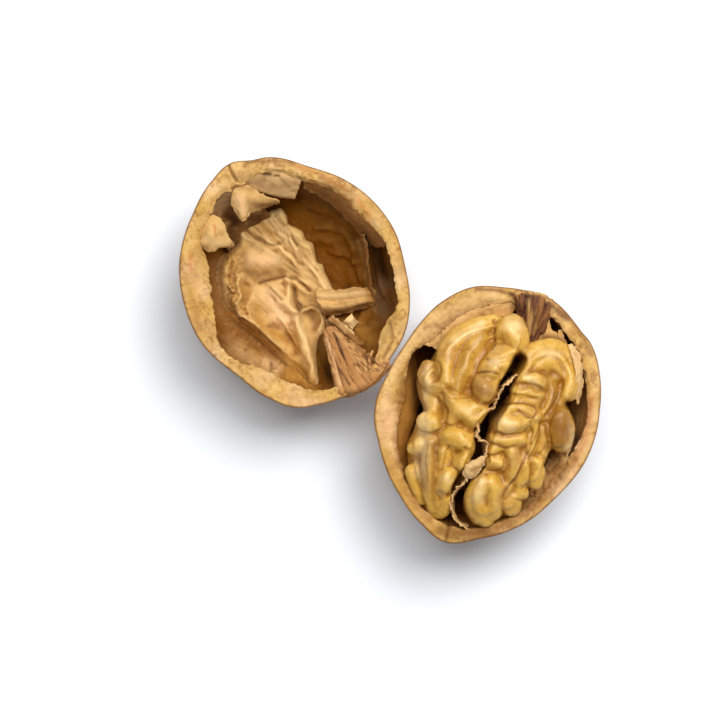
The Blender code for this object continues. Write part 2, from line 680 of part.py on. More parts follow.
def build_linings(halves, spaces, kernel, collection, cutters):
    """The papery flaps that hang at the rims, and the woody fibres at the two stem ends."""

    def slab(side, name, finish, centre, outline, drop, depth, edge, slope):
        """A flap whose top lies drop below the rim, and deeper by slope inside the edge distance from the middle."""
        half = halves[side]
        fall = lambda spot: max(0.0, (edge * MM - (spot - half.centre).length) * slope)
        top = lambda spot: RIM_HEIGHT - drop * MM - fall(spot)
        bottom = lambda spot: top(spot) - depth * MM
        made = add_object(name, pad(centre, outline, top, bottom, 28, 8), collection, finish)
        return keep_inside(made, spaces[side])

    slab("empty", "stem_fibres_empty", "fibres", (350, 364), FIBRES_OUTLINE, 0.6, 6, 17, 0.75)
    slab("empty", "top_flap", "lining", (274, 184), TOP_FLAP_OUTLINE, 1.0, 0.9, 16, 0.3)
    slab("empty", "tip_fold", "lining", (243, 203), TIP_FOLD_OUTLINE, 1.8, 1.4, 14.5, 0.5)
    slab("empty", "side_flap", "lining", (213, 233), SIDE_FLAP_OUTLINE, 1.3, 0.9, 14, 0.4)
    wedge = slab("kernel", "stem_fibres_full", "dark_fibres", (534, 312), STEM_WEDGE_OUTLINE, 0.5, 6, 17, 0.35)
    lining = slab("kernel", "right_lining", "lining", (558, 328), RIGHT_LINING_OUTLINE, 0.9, 1.0, 16, 0.2)
    kernel_room = swollen(kernel, "kernel_room", 1.3 * CLEARANCE, cutters)
    cut(wedge, kernel_room)
    cut(lining, kernel_room)


def main():
    for old in list(bpy.data.objects):
        bpy.data.objects.remove(old)
    nut = bpy.data.collections.new("cracked_walnut")
    cutters = bpy.data.collections.new("cutters")
    bpy.context.scene.collection.children.link(nut)
    bpy.context.scene.collection.children.link(cutters)
    halves = {name: Half(**facts) for name, facts in HALVES.items()}
    for name, half in halves.items():
        shell = add_object(f"shell_{name}", shell_surface(half), nut, "shell")
        cut(shell, crack_cutter(half, f"tip_crack_{name}", 4.2 * MM, cutters))
    spaces = {name: cavity(half, f"cavity_{name}", cutters) for name, half in halves.items()}
    kernel = build_kernel(halves["kernel"], spaces["kernel"], nut, cutters)
    build_partition(halves["empty"], spaces["empty"], nut)
    build_linings(halves, spaces, kernel, nut, cutters)


main()
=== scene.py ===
import math

import bmesh
import bpy
import numpy as np
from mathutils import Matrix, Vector, noise


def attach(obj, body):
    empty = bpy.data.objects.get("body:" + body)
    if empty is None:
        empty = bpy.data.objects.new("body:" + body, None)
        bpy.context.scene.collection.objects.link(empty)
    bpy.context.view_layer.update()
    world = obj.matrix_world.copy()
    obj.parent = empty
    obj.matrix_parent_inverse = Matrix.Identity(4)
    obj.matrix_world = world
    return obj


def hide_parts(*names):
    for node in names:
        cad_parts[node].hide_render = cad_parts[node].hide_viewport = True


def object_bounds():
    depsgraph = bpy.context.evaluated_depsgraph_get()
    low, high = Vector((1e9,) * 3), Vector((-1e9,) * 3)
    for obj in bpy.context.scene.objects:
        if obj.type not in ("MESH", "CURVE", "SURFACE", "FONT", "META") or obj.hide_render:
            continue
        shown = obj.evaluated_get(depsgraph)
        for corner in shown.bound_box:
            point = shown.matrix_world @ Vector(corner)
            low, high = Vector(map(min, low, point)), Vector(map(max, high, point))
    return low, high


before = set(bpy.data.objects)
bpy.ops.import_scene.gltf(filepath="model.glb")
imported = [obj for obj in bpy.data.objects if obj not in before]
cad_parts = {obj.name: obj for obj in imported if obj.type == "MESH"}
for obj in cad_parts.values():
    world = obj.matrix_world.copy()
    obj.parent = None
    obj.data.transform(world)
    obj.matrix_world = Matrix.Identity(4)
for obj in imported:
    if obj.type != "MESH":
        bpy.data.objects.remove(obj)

CAD_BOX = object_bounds()

# Plan places are pixels of the photograph, 264 of which are the nut's length. The finer ones are sixths of a
# pixel from a corner of the square round each half.
NUT_LENGTH = 0.040
PIXEL = NUT_LENGTH / 264
PLAN_ORIGIN = np.array([390.0, 349.5])
IMAGE_MIDDLE = (351.5, 351.5)
EMPTY_CORNER = np.array([170.0, 145.0])
KERNEL_CORNER = np.array([370.0, 280.0])
MM = 0.001

RIM_HEIGHT = 16.5 * MM
BODY_DEPTH = 17.1 * MM
HALF_LENGTH = 19.3 * MM
HALF_WIDTH = 16.6 * MM
ROUNDNESS = 2.2
WALL_AT_RIM = 1.8 * MM
WALL_AT_BOTTOM = 1.5 * MM
SEAM_FLARE = 0.55 * MM
RIM_ROUNDING = 0.3 * MM
LEDGE_DEPTH = 4.5 * MM
FURROW_DEPTH = 0.5 * MM

SHELL_SEGMENTS = 520
OUTER_ROWS = 66
RIM_ROWS = 26
INNER_ROWS = 84
SEAM_MERGE = 0.0001 * MM

KERNEL_CROWN = 6.5 * MM
KERNEL_EDGE_DROP = 3.0 * MM
KERNEL_VALLEY = 3.2 * MM
FOLD_DROP = 1.3 * MM
FOLD_ROUND = 0.92
FOLD_MELT = 0.20 * MM
LARGEST_FOLD = 2.4 * MM
GAP_DEPTH = 8 * MM
KERNEL_VOXEL = 0.22 * MM
THIN_VOXEL = 0.15 * MM
FOLD_WANDER = 0.55 * MM
FOLD_WANDER_SIZE = 2.2 * MM
PLATE_WANDER = 0.5 * MM
PLATE_WANDER_SIZE = 1.6 * MM
SHEET_STEPS = 14

CAMERA_DISTANCE = 0.42
SENSOR_WIDTH = 36
PICTURE_PIXELS = 703
FLOOR_SIZE = 1.5
KEY_LIGHT = {"place": (0.20, 0.28, 0.60), "size": 0.40, "power": 4.2}
HIGH_LIGHT = {"place": (-0.08, 0.16, 0.60), "size": 0.26, "power": 1.25}
LIT_PLACE = (0, 0, 0.01)
ROOM_LIGHT = 0.31

HALVES = {
    "empty": {
        "centre": (294, 283),
        "tip": (229, 163),
        "stem": (357, 392),
        "outer": [
            (230, 163), (251, 160), (272, 157), (308, 166), (344, 179), (379, 207), (395, 231), (405, 265),
            (410, 303), (405, 333), (391, 358), (382, 374), (368, 388), (351, 394), (319, 405), (295, 408),
            (272, 400), (236, 375), (201, 343), (184, 305), (179, 263), (192, 215), (213, 179),
        ],
        "inner": [
            (242, 186), (263, 172), (297, 179), (336, 193), (367, 220), (388, 247), (395, 280), (397, 306),
            (390, 317), (379, 335), (379, 350), (374, 365), (365, 379), (353, 387), (322, 390), (299, 386),
            (265, 370), (226, 354), (213, 306), (208, 265), (200, 241), (209, 215), (219, 197),
        ],
    },
    "kernel": {
        "centre": (488, 415),
        "tip": (446, 543),
        "stem": (536, 293),
        "outer": [
            (534, 293), (553, 300), (580, 329), (592, 345), (601, 382), (600, 411), (587, 459), (556, 498),
            (514, 529), (480, 539), (446, 543), (422, 525), (398, 493), (379, 446), (374, 421), (376, 400),
            (385, 378), (394.5, 360), (405, 344), (420, 323), (437, 305), (472, 287), (503, 287), (528, 291),
        ],
        "inner": [
            (530, 299), (545, 302), (562, 320), (581, 354), (587, 396), (588, 416), (577, 446), (562, 473),
            (542, 495), (521, 512), (496, 523), (471, 530), (453, 527), (431, 519), (413, 494), (401, 464),
            (397, 436), (403, 400), (406, 375), (413, 354), (428, 344), (441, 334), (459, 318), (484, 307),
            (503, 302), (516, 299),
        ],
    },
}

LEFT_LOBE = [
    (512, 314), (524, 320), (527, 331), (517, 354), (503, 378), (492, 402), (476, 426), (474, 446),
        (465, 468),
    (449, 496), (448, 512), (439, 518), (429, 514), (417, 493), (408, 464), (408, 445), (415, 430),
        (424, 410),
    (419, 375), (431, 361), (444, 341), (467, 323), (485, 317),
]
RIGHT_LOBE = [
    (548, 344), (562, 346), (571, 353), (578, 364), (580, 380), (568, 402), (575, 420), (572, 445),
        (553, 450),
    (542, 470), (538, 482), (526, 493), (520, 510), (508, 517), (490, 522), (476, 527), (467, 520),
        (465, 498),
    (473, 479), (484, 466), (488, 436), (493, 418), (510, 396), (514, 382), (523, 364), (537, 347),
]
# Each fold of the kernel is a row of balls, (x, y, radius), in sixths of a pixel from KERNEL_CORNER.
FOLDS = {
    "crown_knob": [(848, 290, 100), (880, 350, 82), (885, 395, 58)],
    "crown_side": [(785, 270, 62), (765, 320, 46)],
    "outer_ridge": [
        (738, 238, 38), (650, 270, 56), (560, 315, 64), (492, 375, 68), (452, 440, 64), (442, 520, 62),
            (455, 600, 56),
    ],
    "left_hook": [(345, 518, 48), (322, 570, 46), (350, 622, 48), (420, 645, 46)],
    "middle_slope": [(664, 340, 52), (608, 402, 64), (572, 480, 66), (536, 560, 58), (510, 640, 46)],
    "inner_slope": [(668, 420, 40), (636, 500, 40), (604, 566, 36)],
    "second_fold": [(850, 428, 62), (780, 440, 66), (728, 470, 50)],
    "third_fold": [(800, 505, 58), (722, 528, 72), (690, 545, 50)],
    "fourth_fold": [(806, 562, 40), (765, 575, 44)],
    "dark_knob": [(680, 640, 90), (690, 672, 84)],
    "left_slope": [(362, 700, 54), (378, 775, 50)],
    "star": [(452, 700, 42), (500, 742, 62), (560, 782, 78), (602, 822, 68)],
    "star_right": [(650, 738, 46), (600, 768, 60)],
    "star_edge": [(682, 790, 38), (650, 822, 44)],
    "star_foot": [(500, 800, 56), (478, 846, 46)],
    "left_knob": [(338, 850, 72), (368, 850, 60)],
    "lower_plate": [(450, 935, 60), (530, 950, 78), (590, 1000, 58)],
    "side_knob": [(538, 1098, 56), (562, 1062, 42)],
    "left_bead": [(262, 1010, 48), (300, 988, 42)],
    "left_bulge": [(252, 1150, 54), (280, 1232, 52), (312, 1312, 46)],
    "long_ridge": [(352, 960, 40), (342, 1070, 48), (348, 1180, 50), (360, 1290, 48), (384, 1370, 46)],
    "inner_valley": [(432, 1020, 52), (430, 1108, 50)],
    "bright_knob": [(452, 1185, 68), (440, 1236, 60)],
    "foot": [(452, 1312, 50), (430, 1380, 58), (398, 1405, 40)],
    "arch": [
        (888, 545, 50), (918, 488, 60), (980, 430, 64), (1060, 408, 66), (1135, 420, 62), (1188, 478, 56),
        (1205, 555, 52), (1200, 635, 50), (1192, 692, 44),
    ],
    "arch_slope": [(990, 508, 50), (1052, 486, 54), (1112, 512, 50), (1138, 575, 44)],
    "arch_foot": [(1040, 552, 42), (1080, 566, 40)],
    "first_band": [(880, 590, 50), (945, 585, 56), (1010, 612, 46)],
    "second_band": [(862, 655, 46), (925, 662, 48), (985, 690, 38)],
    "third_band": [(850, 712, 38), (912, 716, 38), (980, 735, 36)],
    "valley_ridge": [(1090, 600, 38), (1082, 690, 38), (1066, 765, 34), (1040, 815, 30)],
    "right_flank": [(1148, 665, 42), (1130, 740, 40)],
    "right_knob": [(1140, 822, 70), (1156, 900, 82), (1150, 972, 72)],
    "knob_brow": [(782, 778, 44), (862, 762, 46), (940, 782, 46), (985, 812, 36)],
    "big_knob": [(792, 856, 88), (870, 850, 84), (930, 848, 58)],
    "under_band": [(745, 950, 56), (825, 965, 62), (900, 948, 52)],
    "seam_bead": [(732, 1012, 48), (778, 1008, 38)],
    "lower_seam_bead": [(728, 1088, 50), (776, 1096, 42)],
    "thin_ridge": [(988, 870, 32), (975, 950, 34), (950, 1020, 32)],
    "right_thin_ridge": [(1040, 890, 32), (1042, 960, 36), (1030, 1020, 38)],
    "centre_ridge": [(850, 1028, 50), (866, 1100, 48), (850, 1168, 44)],
    "fan_left": [(925, 1075, 38), (925, 1145, 42), (905, 1210, 44)],
    "fan_right": [(988, 1085, 42), (1004, 1150, 50), (990, 1208, 54)],
    "bottom_lobe": [(655, 1215, 62), (632, 1300, 80), (645, 1378, 86), (690, 1428, 66)],
    "bottom_ridge": [(716, 1215, 62), (736, 1300, 76), (728, 1380, 76)],
    "bottom_side": [(820, 1230, 42), (812, 1290, 38)],
    "low_knob": [(848, 1362, 68), (868, 1310, 50)],
    "low_bead": [(915, 1278, 46), (890, 1262, 42)],
}
# How far some folds lie under the others, in millimetres.
SUNK_FOLDS = {
    "middle_slope": 0.35, "inner_slope": 1.0, "crown_side": 0.6, "arch_slope": 0.7, "arch_foot": 1.0,
        "left_slope": 1.3, "star_foot": 0.5, "lower_plate": 0.35,
    "inner_valley": 0.9, "left_bead": 0.3, "left_bulge": 0.6, "long_ridge": 0.1, "foot": 0.4,
        "valley_ridge": 1.0,
    "right_flank": 1.1, "third_band": 0.5, "thin_ridge": 0.4, "right_thin_ridge": 0.8, "seam_bead": 0.6,
    "lower_seam_bead": 0.6, "under_band": 0.35, "centre_ridge": 0.35, "fan_left": 0.5, "fan_right": 0.4,
    "bottom_side": 0.8, "low_bead": 0.7, "low_knob": 0.5, "bottom_ridge": 0.1, "fourth_fold": 0.3,
    "first_band": -0.2, "big_knob": -0.2, "crown_knob": -0.3, "second_fold": -0.3, "third_fold": -0.3,
    "dark_knob": -0.1, "bright_knob": -0.2, "left_knob": -0.2,
}
# Where the kernel's lobes part.
LOBE_GAP = [
    (893, 476), (872, 520), (838, 575), (802, 640), (796, 700), (770, 760), (722, 825), (682, 890),
        (665, 950),
    (655, 1045), (600, 1140), (545, 1200), (520, 1260), (528, 1330), (545, 1400), (580, 1460),
]
# Creases of the kernel: depth and half width in hundredths of a millimetre, and the route.
CREASES = [
    (36, 30, [(748, 240), (738, 300), (742, 352), (700, 415), (655, 480), (622, 545), (600, 600)]),
    (22, 18, [(735, 385), (790, 378), (850, 396), (885, 425)]),
    (18, 18, [(690, 462), (740, 488), (790, 535), (806, 565)]),
    (30, 16, [(625, 560), (690, 547), (752, 560), (770, 600)]),
    (45, 30, [(402, 492), (412, 545), (398, 590), (372, 606)]),
    (45, 26, [(590, 615), (600, 690), (640, 732), (700, 744), (750, 702)]),
    (40, 26, [(424, 680), (440, 735), (452, 795), (440, 862)]),
    (22, 20, [(424, 680), (480, 698), (560, 700), (600, 696)]),
    (26, 20, [(455, 862), (520, 872), (580, 892), (625, 905)]),
    (30, 20, [(275, 880), (300, 905), (360, 914), (425, 896)]),
    (14, 30, [(318, 990), (308, 1070), (318, 1170), (330, 1280)]),
    (14, 30, [(368, 990), (372, 1080), (374, 1190), (372, 1290), (392, 1340)]),
    (30, 22, [(470, 990), (450, 1040), (440, 1090), (425, 1130)]),
    (26, 18, [(500, 1125), (530, 1150), (556, 1180)]),
    (28, 20, [(412, 1262), (450, 1290), (505, 1262)]),
    (24, 18, [(560, 1000), (610, 1030), (600, 1065)]),
    (50, 34, [(930, 552), (985, 536), (1050, 552), (1102, 560), (1142, 590), (1140, 650), (1118, 720),
        (1086, 770), (1050, 812)]),
    (30, 20, [(858, 618), (925, 618), (985, 636), (1030, 664)]),
    (26, 18, [(845, 688), (920, 692), (990, 712)]),
    (30, 16, [(768, 764), (830, 738), (905, 734), (970, 752), (1004, 790)]),
    (30, 16, [(872, 772), (925, 812), (968, 828), (988, 795)]),
    (34, 20, [(700, 905), (742, 908), (805, 924), (895, 918), (945, 878)]),
    (30, 18, [(688, 968), (740, 982), (800, 1002), (862, 992)]),
    (28, 18, [(688, 1052), (738, 1048), (784, 1030)]),
    (30, 18, [(700, 1134), (756, 1144), (796, 1112), (800, 1060)]),
    (40, 20, [(952, 848), (962, 920), (948, 1000), (930, 1045), (900, 1112), (868, 1182), (800, 1262)]),
    (32, 18, [(1012, 858), (1010, 930), (988, 990), (960, 1040)]),
    (48, 26, [(1092, 786), (1064, 842), (1060, 920), (1082, 1002)]),
    (26, 18, [(1046, 1000), (1006, 1040), (960, 1056)]),
    (24, 18, [(950, 1060), (960, 1130), (948, 1210), (905, 1252)]),
    (26, 18, [(806, 1240), (786, 1330), (802, 1402)]),
    (20, 16, [(872, 1312), (922, 1330), (930, 1372)]),
    (20, 20, [(640, 1180), (672, 1160), (712, 1150)]),
]
# The foot of the lining's slope inside the kernel's half.
LINING_FOOT = [
    (262, 450), (268, 530), (286, 620), (290, 720), (264, 820), (240, 890), (216, 960), (212, 1060),
        (228, 1170), (262, 1270),
    (330, 1380), (430, 1440), (520, 1462), (620, 1480), (760, 1432), (880, 1372), (960, 1292), (1050, 1180),
    (1110, 1110), (1180, 1050), (1260, 960), (1320, 830), (1320, 700), (1310, 560), (1250, 400), (1150, 240),
    (1000, 140), (800, 120), (600, 160), (420, 280), (320, 380),
]
# The splits at the tips, from the outer edge inwards.
SPLITS = {
    "empty": [(346, 100), (360, 150), (392, 205), (436, 268)],
    "kernel": [(452, 1585), (462, 1530), (476, 1460), (492, 1400)],
}
# Paint: the colour's name, strength, half width in millimetres and route in sixths of a pixel.
KERNEL_PAINT = [
    ("umber", 0.75, 1.5, [(680, 640), (695, 665)]),
    ("umber", 0.45, 0.9, [(610, 640), (600, 690)]),
    # In this table the deep strokes are painted shade in the creases and hollows, and on the right knob's
    # shaded side.
    ("deep", 0.4, 1.0, [(680, 320), (640, 370), (590, 430), (560, 500), (540, 590), (510, 650)]),
    ("deep", 0.9, 2.2, [(1120, 810), (1140, 880), (1140, 960)]),
    ("deep", 0.5, 0.7, [(1080, 620), (1085, 700)]),
    # The lightest strokes in this table are painted highlights on the knobs' crests.
    ("painted_highlight", 0.5, 0.6, [(1196, 900), (1206, 960), (1180, 1000)]),
    ("painted_highlight", 0.5, 1.0, [(330, 850), (300, 1150), (330, 560)]),
    ("deep", 0.8, 0.5, [(400, 520), (412, 560), (392, 600)]),
    ("deep", 0.6, 0.9, [(450, 660), (430, 760), (430, 860)]),
    # Most vein strokes run along creases and are painted shade lines in their bottoms; the rest are the
    # kernel's own veins.
    ("vein", 0.9, 0.14, [(748, 285), (738, 330), (752, 378), (725, 420)]),
    ("vein", 0.9, 0.14, [(628, 556), (690, 548), (752, 560)]),
    ("vein", 0.7, 0.12, [(690, 470), (760, 520), (775, 545)]),
    ("vein", 0.6, 0.1, [(545, 430), (580, 410), (620, 440)]),
    ("deep", 0.8, 0.4, [(596, 620), (600, 690), (640, 728), (700, 735)]),
    ("deep", 0.7, 0.6, [(340, 480), (300, 560), (320, 640)]),
    ("vein", 0.8, 0.14, [(770, 760), (830, 738), (910, 735), (980, 760)]),
    ("vein", 0.8, 0.14, [(880, 775), (925, 820), (965, 825), (985, 790)]),
    ("vein", 0.7, 0.12, [(700, 935), (740, 985), (800, 1005)]),
    ("vein", 0.7, 0.12, [(720, 860), (735, 900), (790, 920)]),
    ("vein", 0.7, 0.12, [(925, 980), (935, 1040), (900, 1110), (870, 1180), (800, 1260)]),
    ("vein", 0.6, 0.12, [(1060, 800), (1085, 740), (1100, 670)]),
    ("vein", 0.6, 0.12, [(1010, 830), (1000, 900), (960, 980)]),
    ("deep", 0.8, 0.7, [(1050, 570), (1090, 560), (1130, 580)]),
    ("deep", 0.8, 0.6, [(1040, 860), (1060, 930), (1080, 1000)]),
    ("deep", 0.5, 0.6, [(1110, 640), (1105, 740), (1080, 800)]),
    ("deep", 0.6, 0.5, [(870, 620), (940, 640), (1010, 655)]),
    ("deep", 0.5, 0.5, [(720, 1130), (790, 1150), (800, 1190)]),
    ("vein", 0.6, 0.12, [(345, 980), (330, 1080), (345, 1200)]),
    ("deep", 0.7, 0.4, [(395, 990), (385, 1100), (375, 1220), (385, 1310)]),
    ("deep", 0.6, 0.4, [(300, 1040), (300, 1130), (320, 1230)]),
    ("vein", 0.6, 0.12, [(880, 1310), (930, 1330), (925, 1370)]),
    ("vein", 0.5, 0.1, [(790, 1340), (800, 1280), (850, 1200), (900, 1120)]),
    ("umber", 0.4, 0.5, [(600, 1380), (640, 1400)]),
    ("umber", 0.35, 0.5, [(600, 1300), (620, 1330)]),
    ("painted_highlight", 0.6, 0.9, [(830, 275), (870, 285)]),
    ("painted_highlight", 0.5, 0.6, [(500, 360), (580, 320), (660, 270)]),
    ("painted_highlight", 0.5, 0.5, [(720, 500), (750, 500)]),
    ("painted_highlight", 0.2, 0.8, [(540, 760), (600, 790)]),
    ("umber", 0.4, 1.4, [(370, 960), (390, 1010), (360, 1090)]),
    ("painted_highlight", 0.5, 0.7, [(1040, 440), (1120, 450)]),
    ("painted_highlight", 0.5, 0.5, [(930, 580), (980, 610)]),
    ("painted_highlight", 0.6, 0.8, [(780, 840), (830, 870)]),
    ("painted_highlight", 0.5, 0.7, [(450, 1180), (470, 1200)]),
    ("painted_highlight", 0.5, 0.8, [(660, 1200), (640, 1300)]),
    ("deep", 0.9, 1.6, [(1120, 830), (1150, 890), (1150, 940)]),
    ("umber", 0.4, 0.5, [(1130, 880), (1150, 930)]),
]
KERNEL_RIM_PAINT = [
    ("pale", 0.6, 0.9, [(300, 300), (180, 460), (110, 620), (85, 800), (110, 980)]),
    ("pale", 0.6, 1.4, [(330, 330), (450, 230), (600, 150), (720, 100)]),
    # Painted shade on the rim's inner slope down the left and lower left, in this and the next stroke.
    ("umber", 0.7, 0.7, [(205, 600), (180, 760), (165, 950), (190, 1110), (262, 1300), (366, 1440)]),
    ("ochre", 0.6, 1.2, [(90, 1040), (150, 1190), (260, 1370), (380, 1500)]),
    ("pink", 0.9, 1.1, [(120, 810), (110, 860)]),
    ("pale", 0.6, 0.6, [(1360, 640), (1350, 840), (1280, 1040), (1160, 1220)]),
    ("ochre", 0.6, 0.5, [(230, 480), (190, 560)]),
    ("rust", 0.45, 0.5, [(1330, 700), (1300, 940), (1200, 1150)]),
    # Painted shade on the lower rim's inner side.
    ("umber", 0.75, 0.8, [(1230, 1080), (1130, 1230), (1000, 1350), (860, 1440), (720, 1500), (600, 1530)]),
    ("umber", 0.5, 0.25, [(640, 60), (760, 62), (860, 82)]),
    ("dark_plum", 0.8, 0.3, [(840, 78), (880, 96), (960, 82)]),
    ("brown", 0.6, 0.5, [(1150, 170), (1250, 290), (1330, 440)]),
    ("umber", 0.5, 0.3, [(330, 290), (380, 260), (450, 300)]),
    ("pink", 0.6, 0.8, [(100, 700), (90, 950)]),
    # Painted shadow of the kernel on the rim at the tip, in this and the last brown stroke.
    ("brown", 0.9, 1.0, [(430, 1500), (540, 1520), (700, 1510)]),
    ("pink", 0.6, 0.7, [(1120, 1300), (1240, 1130)]),
    ("brown", 0.5, 0.3, [(420, 1520), (560, 1560), (720, 1530), (870, 1470)]),
    ("plum", 0.9, 0.8, [(880, 110), (960, 130), (1060, 150)]),
    ("plum", 0.7, 0.5, [(1080, 150), (1180, 230)]),
    ("plum", 0.5, 0.3, [(640, 50), (760, 60), (880, 100)]),
]
KERNEL_WALL_PAINT = [
    ("grey", 0.8, 1.6, [(1080, 1130), (1180, 1050), (1230, 960)]),
    # The dark strokes are painted shade in the gaps and the void between the kernel and the wall.
    ("dark", 1.0, 1.3, [(1080, 230), (1110, 280)]),
    ("dark", 1.0, 0.9, [(1180, 330), (1240, 450)]),
    ("ochre", 0.85, 1.4, [(240, 620), (230, 760), (200, 900), (205, 1060), (250, 1240), (330, 1400)]),
    ("dark", 0.8, 0.7, [(250, 470), (262, 560), (290, 700), (285, 780)]),
    ("tan", 0.7, 1.2, [(940, 1340), (1060, 1240), (1160, 1130)]),
    ("tan", 0.7, 1.2, [(1270, 640), (1290, 780), (1260, 900)]),
    # Painted shadow of the kernel on the wall at the tip.
    ("brown", 0.9, 1.5, [(420, 1470), (560, 1500), (700, 1490)]),
    ("pale", 0.9, 2.0, [(480, 260), (640, 170), (780, 140), (840, 160)]),
]
EMPTY_RIM_PAINT = [
    ("ochre", 0.65, 0.9, [(120, 800), (130, 950), (190, 1120)]),
    ("rust", 0.45, 0.45, [(125, 660), (120, 720), (130, 760)]),
    ("rust", 0.45, 0.5, [(1130, 330), (1160, 370), (1200, 430)]),
    ("rust", 0.4, 0.35, [(760, 130), (860, 160), (960, 210), (1050, 260)]),
    ("brown", 0.6, 0.3, [(450, 110), (600, 92), (740, 105)]),
    ("pink", 0.6, 1.0, [(700, 1500), (800, 1540), (900, 1550)]),
    ("pink", 0.5, 0.8, [(140, 800), (200, 900)]),
    ("ochre", 0.6, 0.8, [(340, 1380), (480, 1480), (560, 1500)]),
    ("brown", 0.5, 0.5, [(900, 200), (1010, 250), (1100, 310)]),
    ("ochre", 0.5, 0.7, [(1330, 480), (1400, 640), (1420, 840)]),
    ("rust", 0.5, 0.6, [(1040, 1490), (1160, 1470), (1280, 1380)]),
    ("brown", 0.7, 0.25, [(1320, 1060), (1340, 1160), (1280, 1280)]),
]
BRIDGE = [(455, 468), (467, 476), (482, 484)]

PLATE = [
    (262, 655), (300, 610), (345, 560), (385, 490), (440, 455), (500, 420), (560, 385), (620, 365),
        (655, 358),
    (690, 400), (700, 452), (752, 478), (790, 502), (808, 548), (850, 572), (864, 630), (878, 688),
        (910, 702),
    (924, 748), (946, 790), (966, 838), (985, 868), (1010, 900), (1012, 950), (975, 990), (938, 1012),
        (925, 1060),
    (918, 1120), (884, 1165), (872, 1260), (882, 1350), (884, 1440), (820, 1420), (740, 1330), (650, 1262),
    (560, 1180), (480, 1105), (400, 1050), (340, 1015), (285, 965), (256, 870), (246, 760),
]
PLATE_CRACK = [(330, 1005), (400, 1056), (480, 1110), (560, 1186), (650, 1266), (740, 1335), (820, 1418)]
PLATE_FOOT = [(345, 560), (285, 620), (246, 700), (246, 800), (262, 900), (300, 985), (345, 1020)]
PLATE_CENTRE = (640, 840)
# Ridges and creases of the plate: half width and rise in millimetres, and the route in sixths of a pixel.
PLATE_RELIEF = [
    (1.7, 1.5, [(680, 400), (770, 520), (840, 630), (900, 750), (940, 850)]),
    (1.1, 0.6, [(550, 410), (640, 530), (720, 660), (800, 790), (890, 880)]),
    (0.35, 0.35, [(470, 470), (560, 560), (640, 600), (740, 690)]),
    (0.3, 0.25, [(600, 400), (690, 510), (760, 650), (860, 750), (930, 850)]),
    (0.22, -0.3, [(540, 400), (610, 480), (680, 600), (790, 700)]),
    (0.2, -0.3, [(620, 410), (700, 490), (752, 590)]),
    (0.18, -0.25, [(820, 620), (850, 700), (910, 770)]),
    (0.25, -0.35, [(440, 490), (500, 545), (590, 580), (650, 575)]),
    (0.3, 0.3, [(410, 500), (470, 560), (540, 600)]),
    (1.6, 0.8, [(450, 560), (420, 640), (440, 720)]),
    (1.5, 0.9, [(500, 670), (560, 690), (630, 690)]),
    (0.9, -0.6, [(470, 760), (560, 770), (640, 760)]),
    (0.3, -0.7, [(520, 815), (600, 790), (680, 775), (745, 790), (790, 820), (830, 865)]),
    (0.7, 0.9, [(590, 810), (680, 800), (740, 815), (800, 870)]),
    (0.8, 1.5, [(610, 860), (660, 910), (700, 962), (745, 1020), (780, 1090), (800, 1170), (825, 1280),
        (850, 1400)]),
    (0.3, -0.45, [(590, 850), (625, 885), (660, 915)]),
    (0.45, 1.0, [(690, 790), (695, 870), (715, 940), (750, 1000)]),
    (0.3, -0.7, [(735, 860), (745, 930), (765, 985)]),
    (2.2, 1.2, [(560, 900), (620, 960), (680, 1030)]),
    (0.8, -0.8, [(600, 1090), (640, 1130), (690, 1170)]),
    (0.8, -0.9, [(690, 1110), (730, 1190), (740, 1240)]),
    (0.25, 0.4, [(640, 1030), (700, 1110), (750, 1190)]),
    (1.4, -0.9, [(840, 1010), (865, 1060), (870, 1090)]),
    (0.35, 0.8, [(790, 985), (850, 972), (900, 1000), (915, 1060), (890, 1120)]),
    (0.5, 0.7, [(360, 980), (440, 1034), (520, 1096)]),
    (0.9, -0.7, [(690, 1240), (760, 1310), (820, 1380)]),
    (0.5, -0.6, [(340, 780), (350, 860), (345, 940)]),
    (0.5, 0.8, [(400, 800), (410, 880), (390, 960)]),
    (0.4, 0.6, [(340, 820), (365, 860)]),
    (0.6, -0.7, [(440, 830), (450, 900), (440, 980)]),
    (0.35, 0.5, [(470, 900), (450, 980), (500, 1060)]),
    (0.5, 0.6, [(900, 880), (960, 900), (1000, 930)]),
]
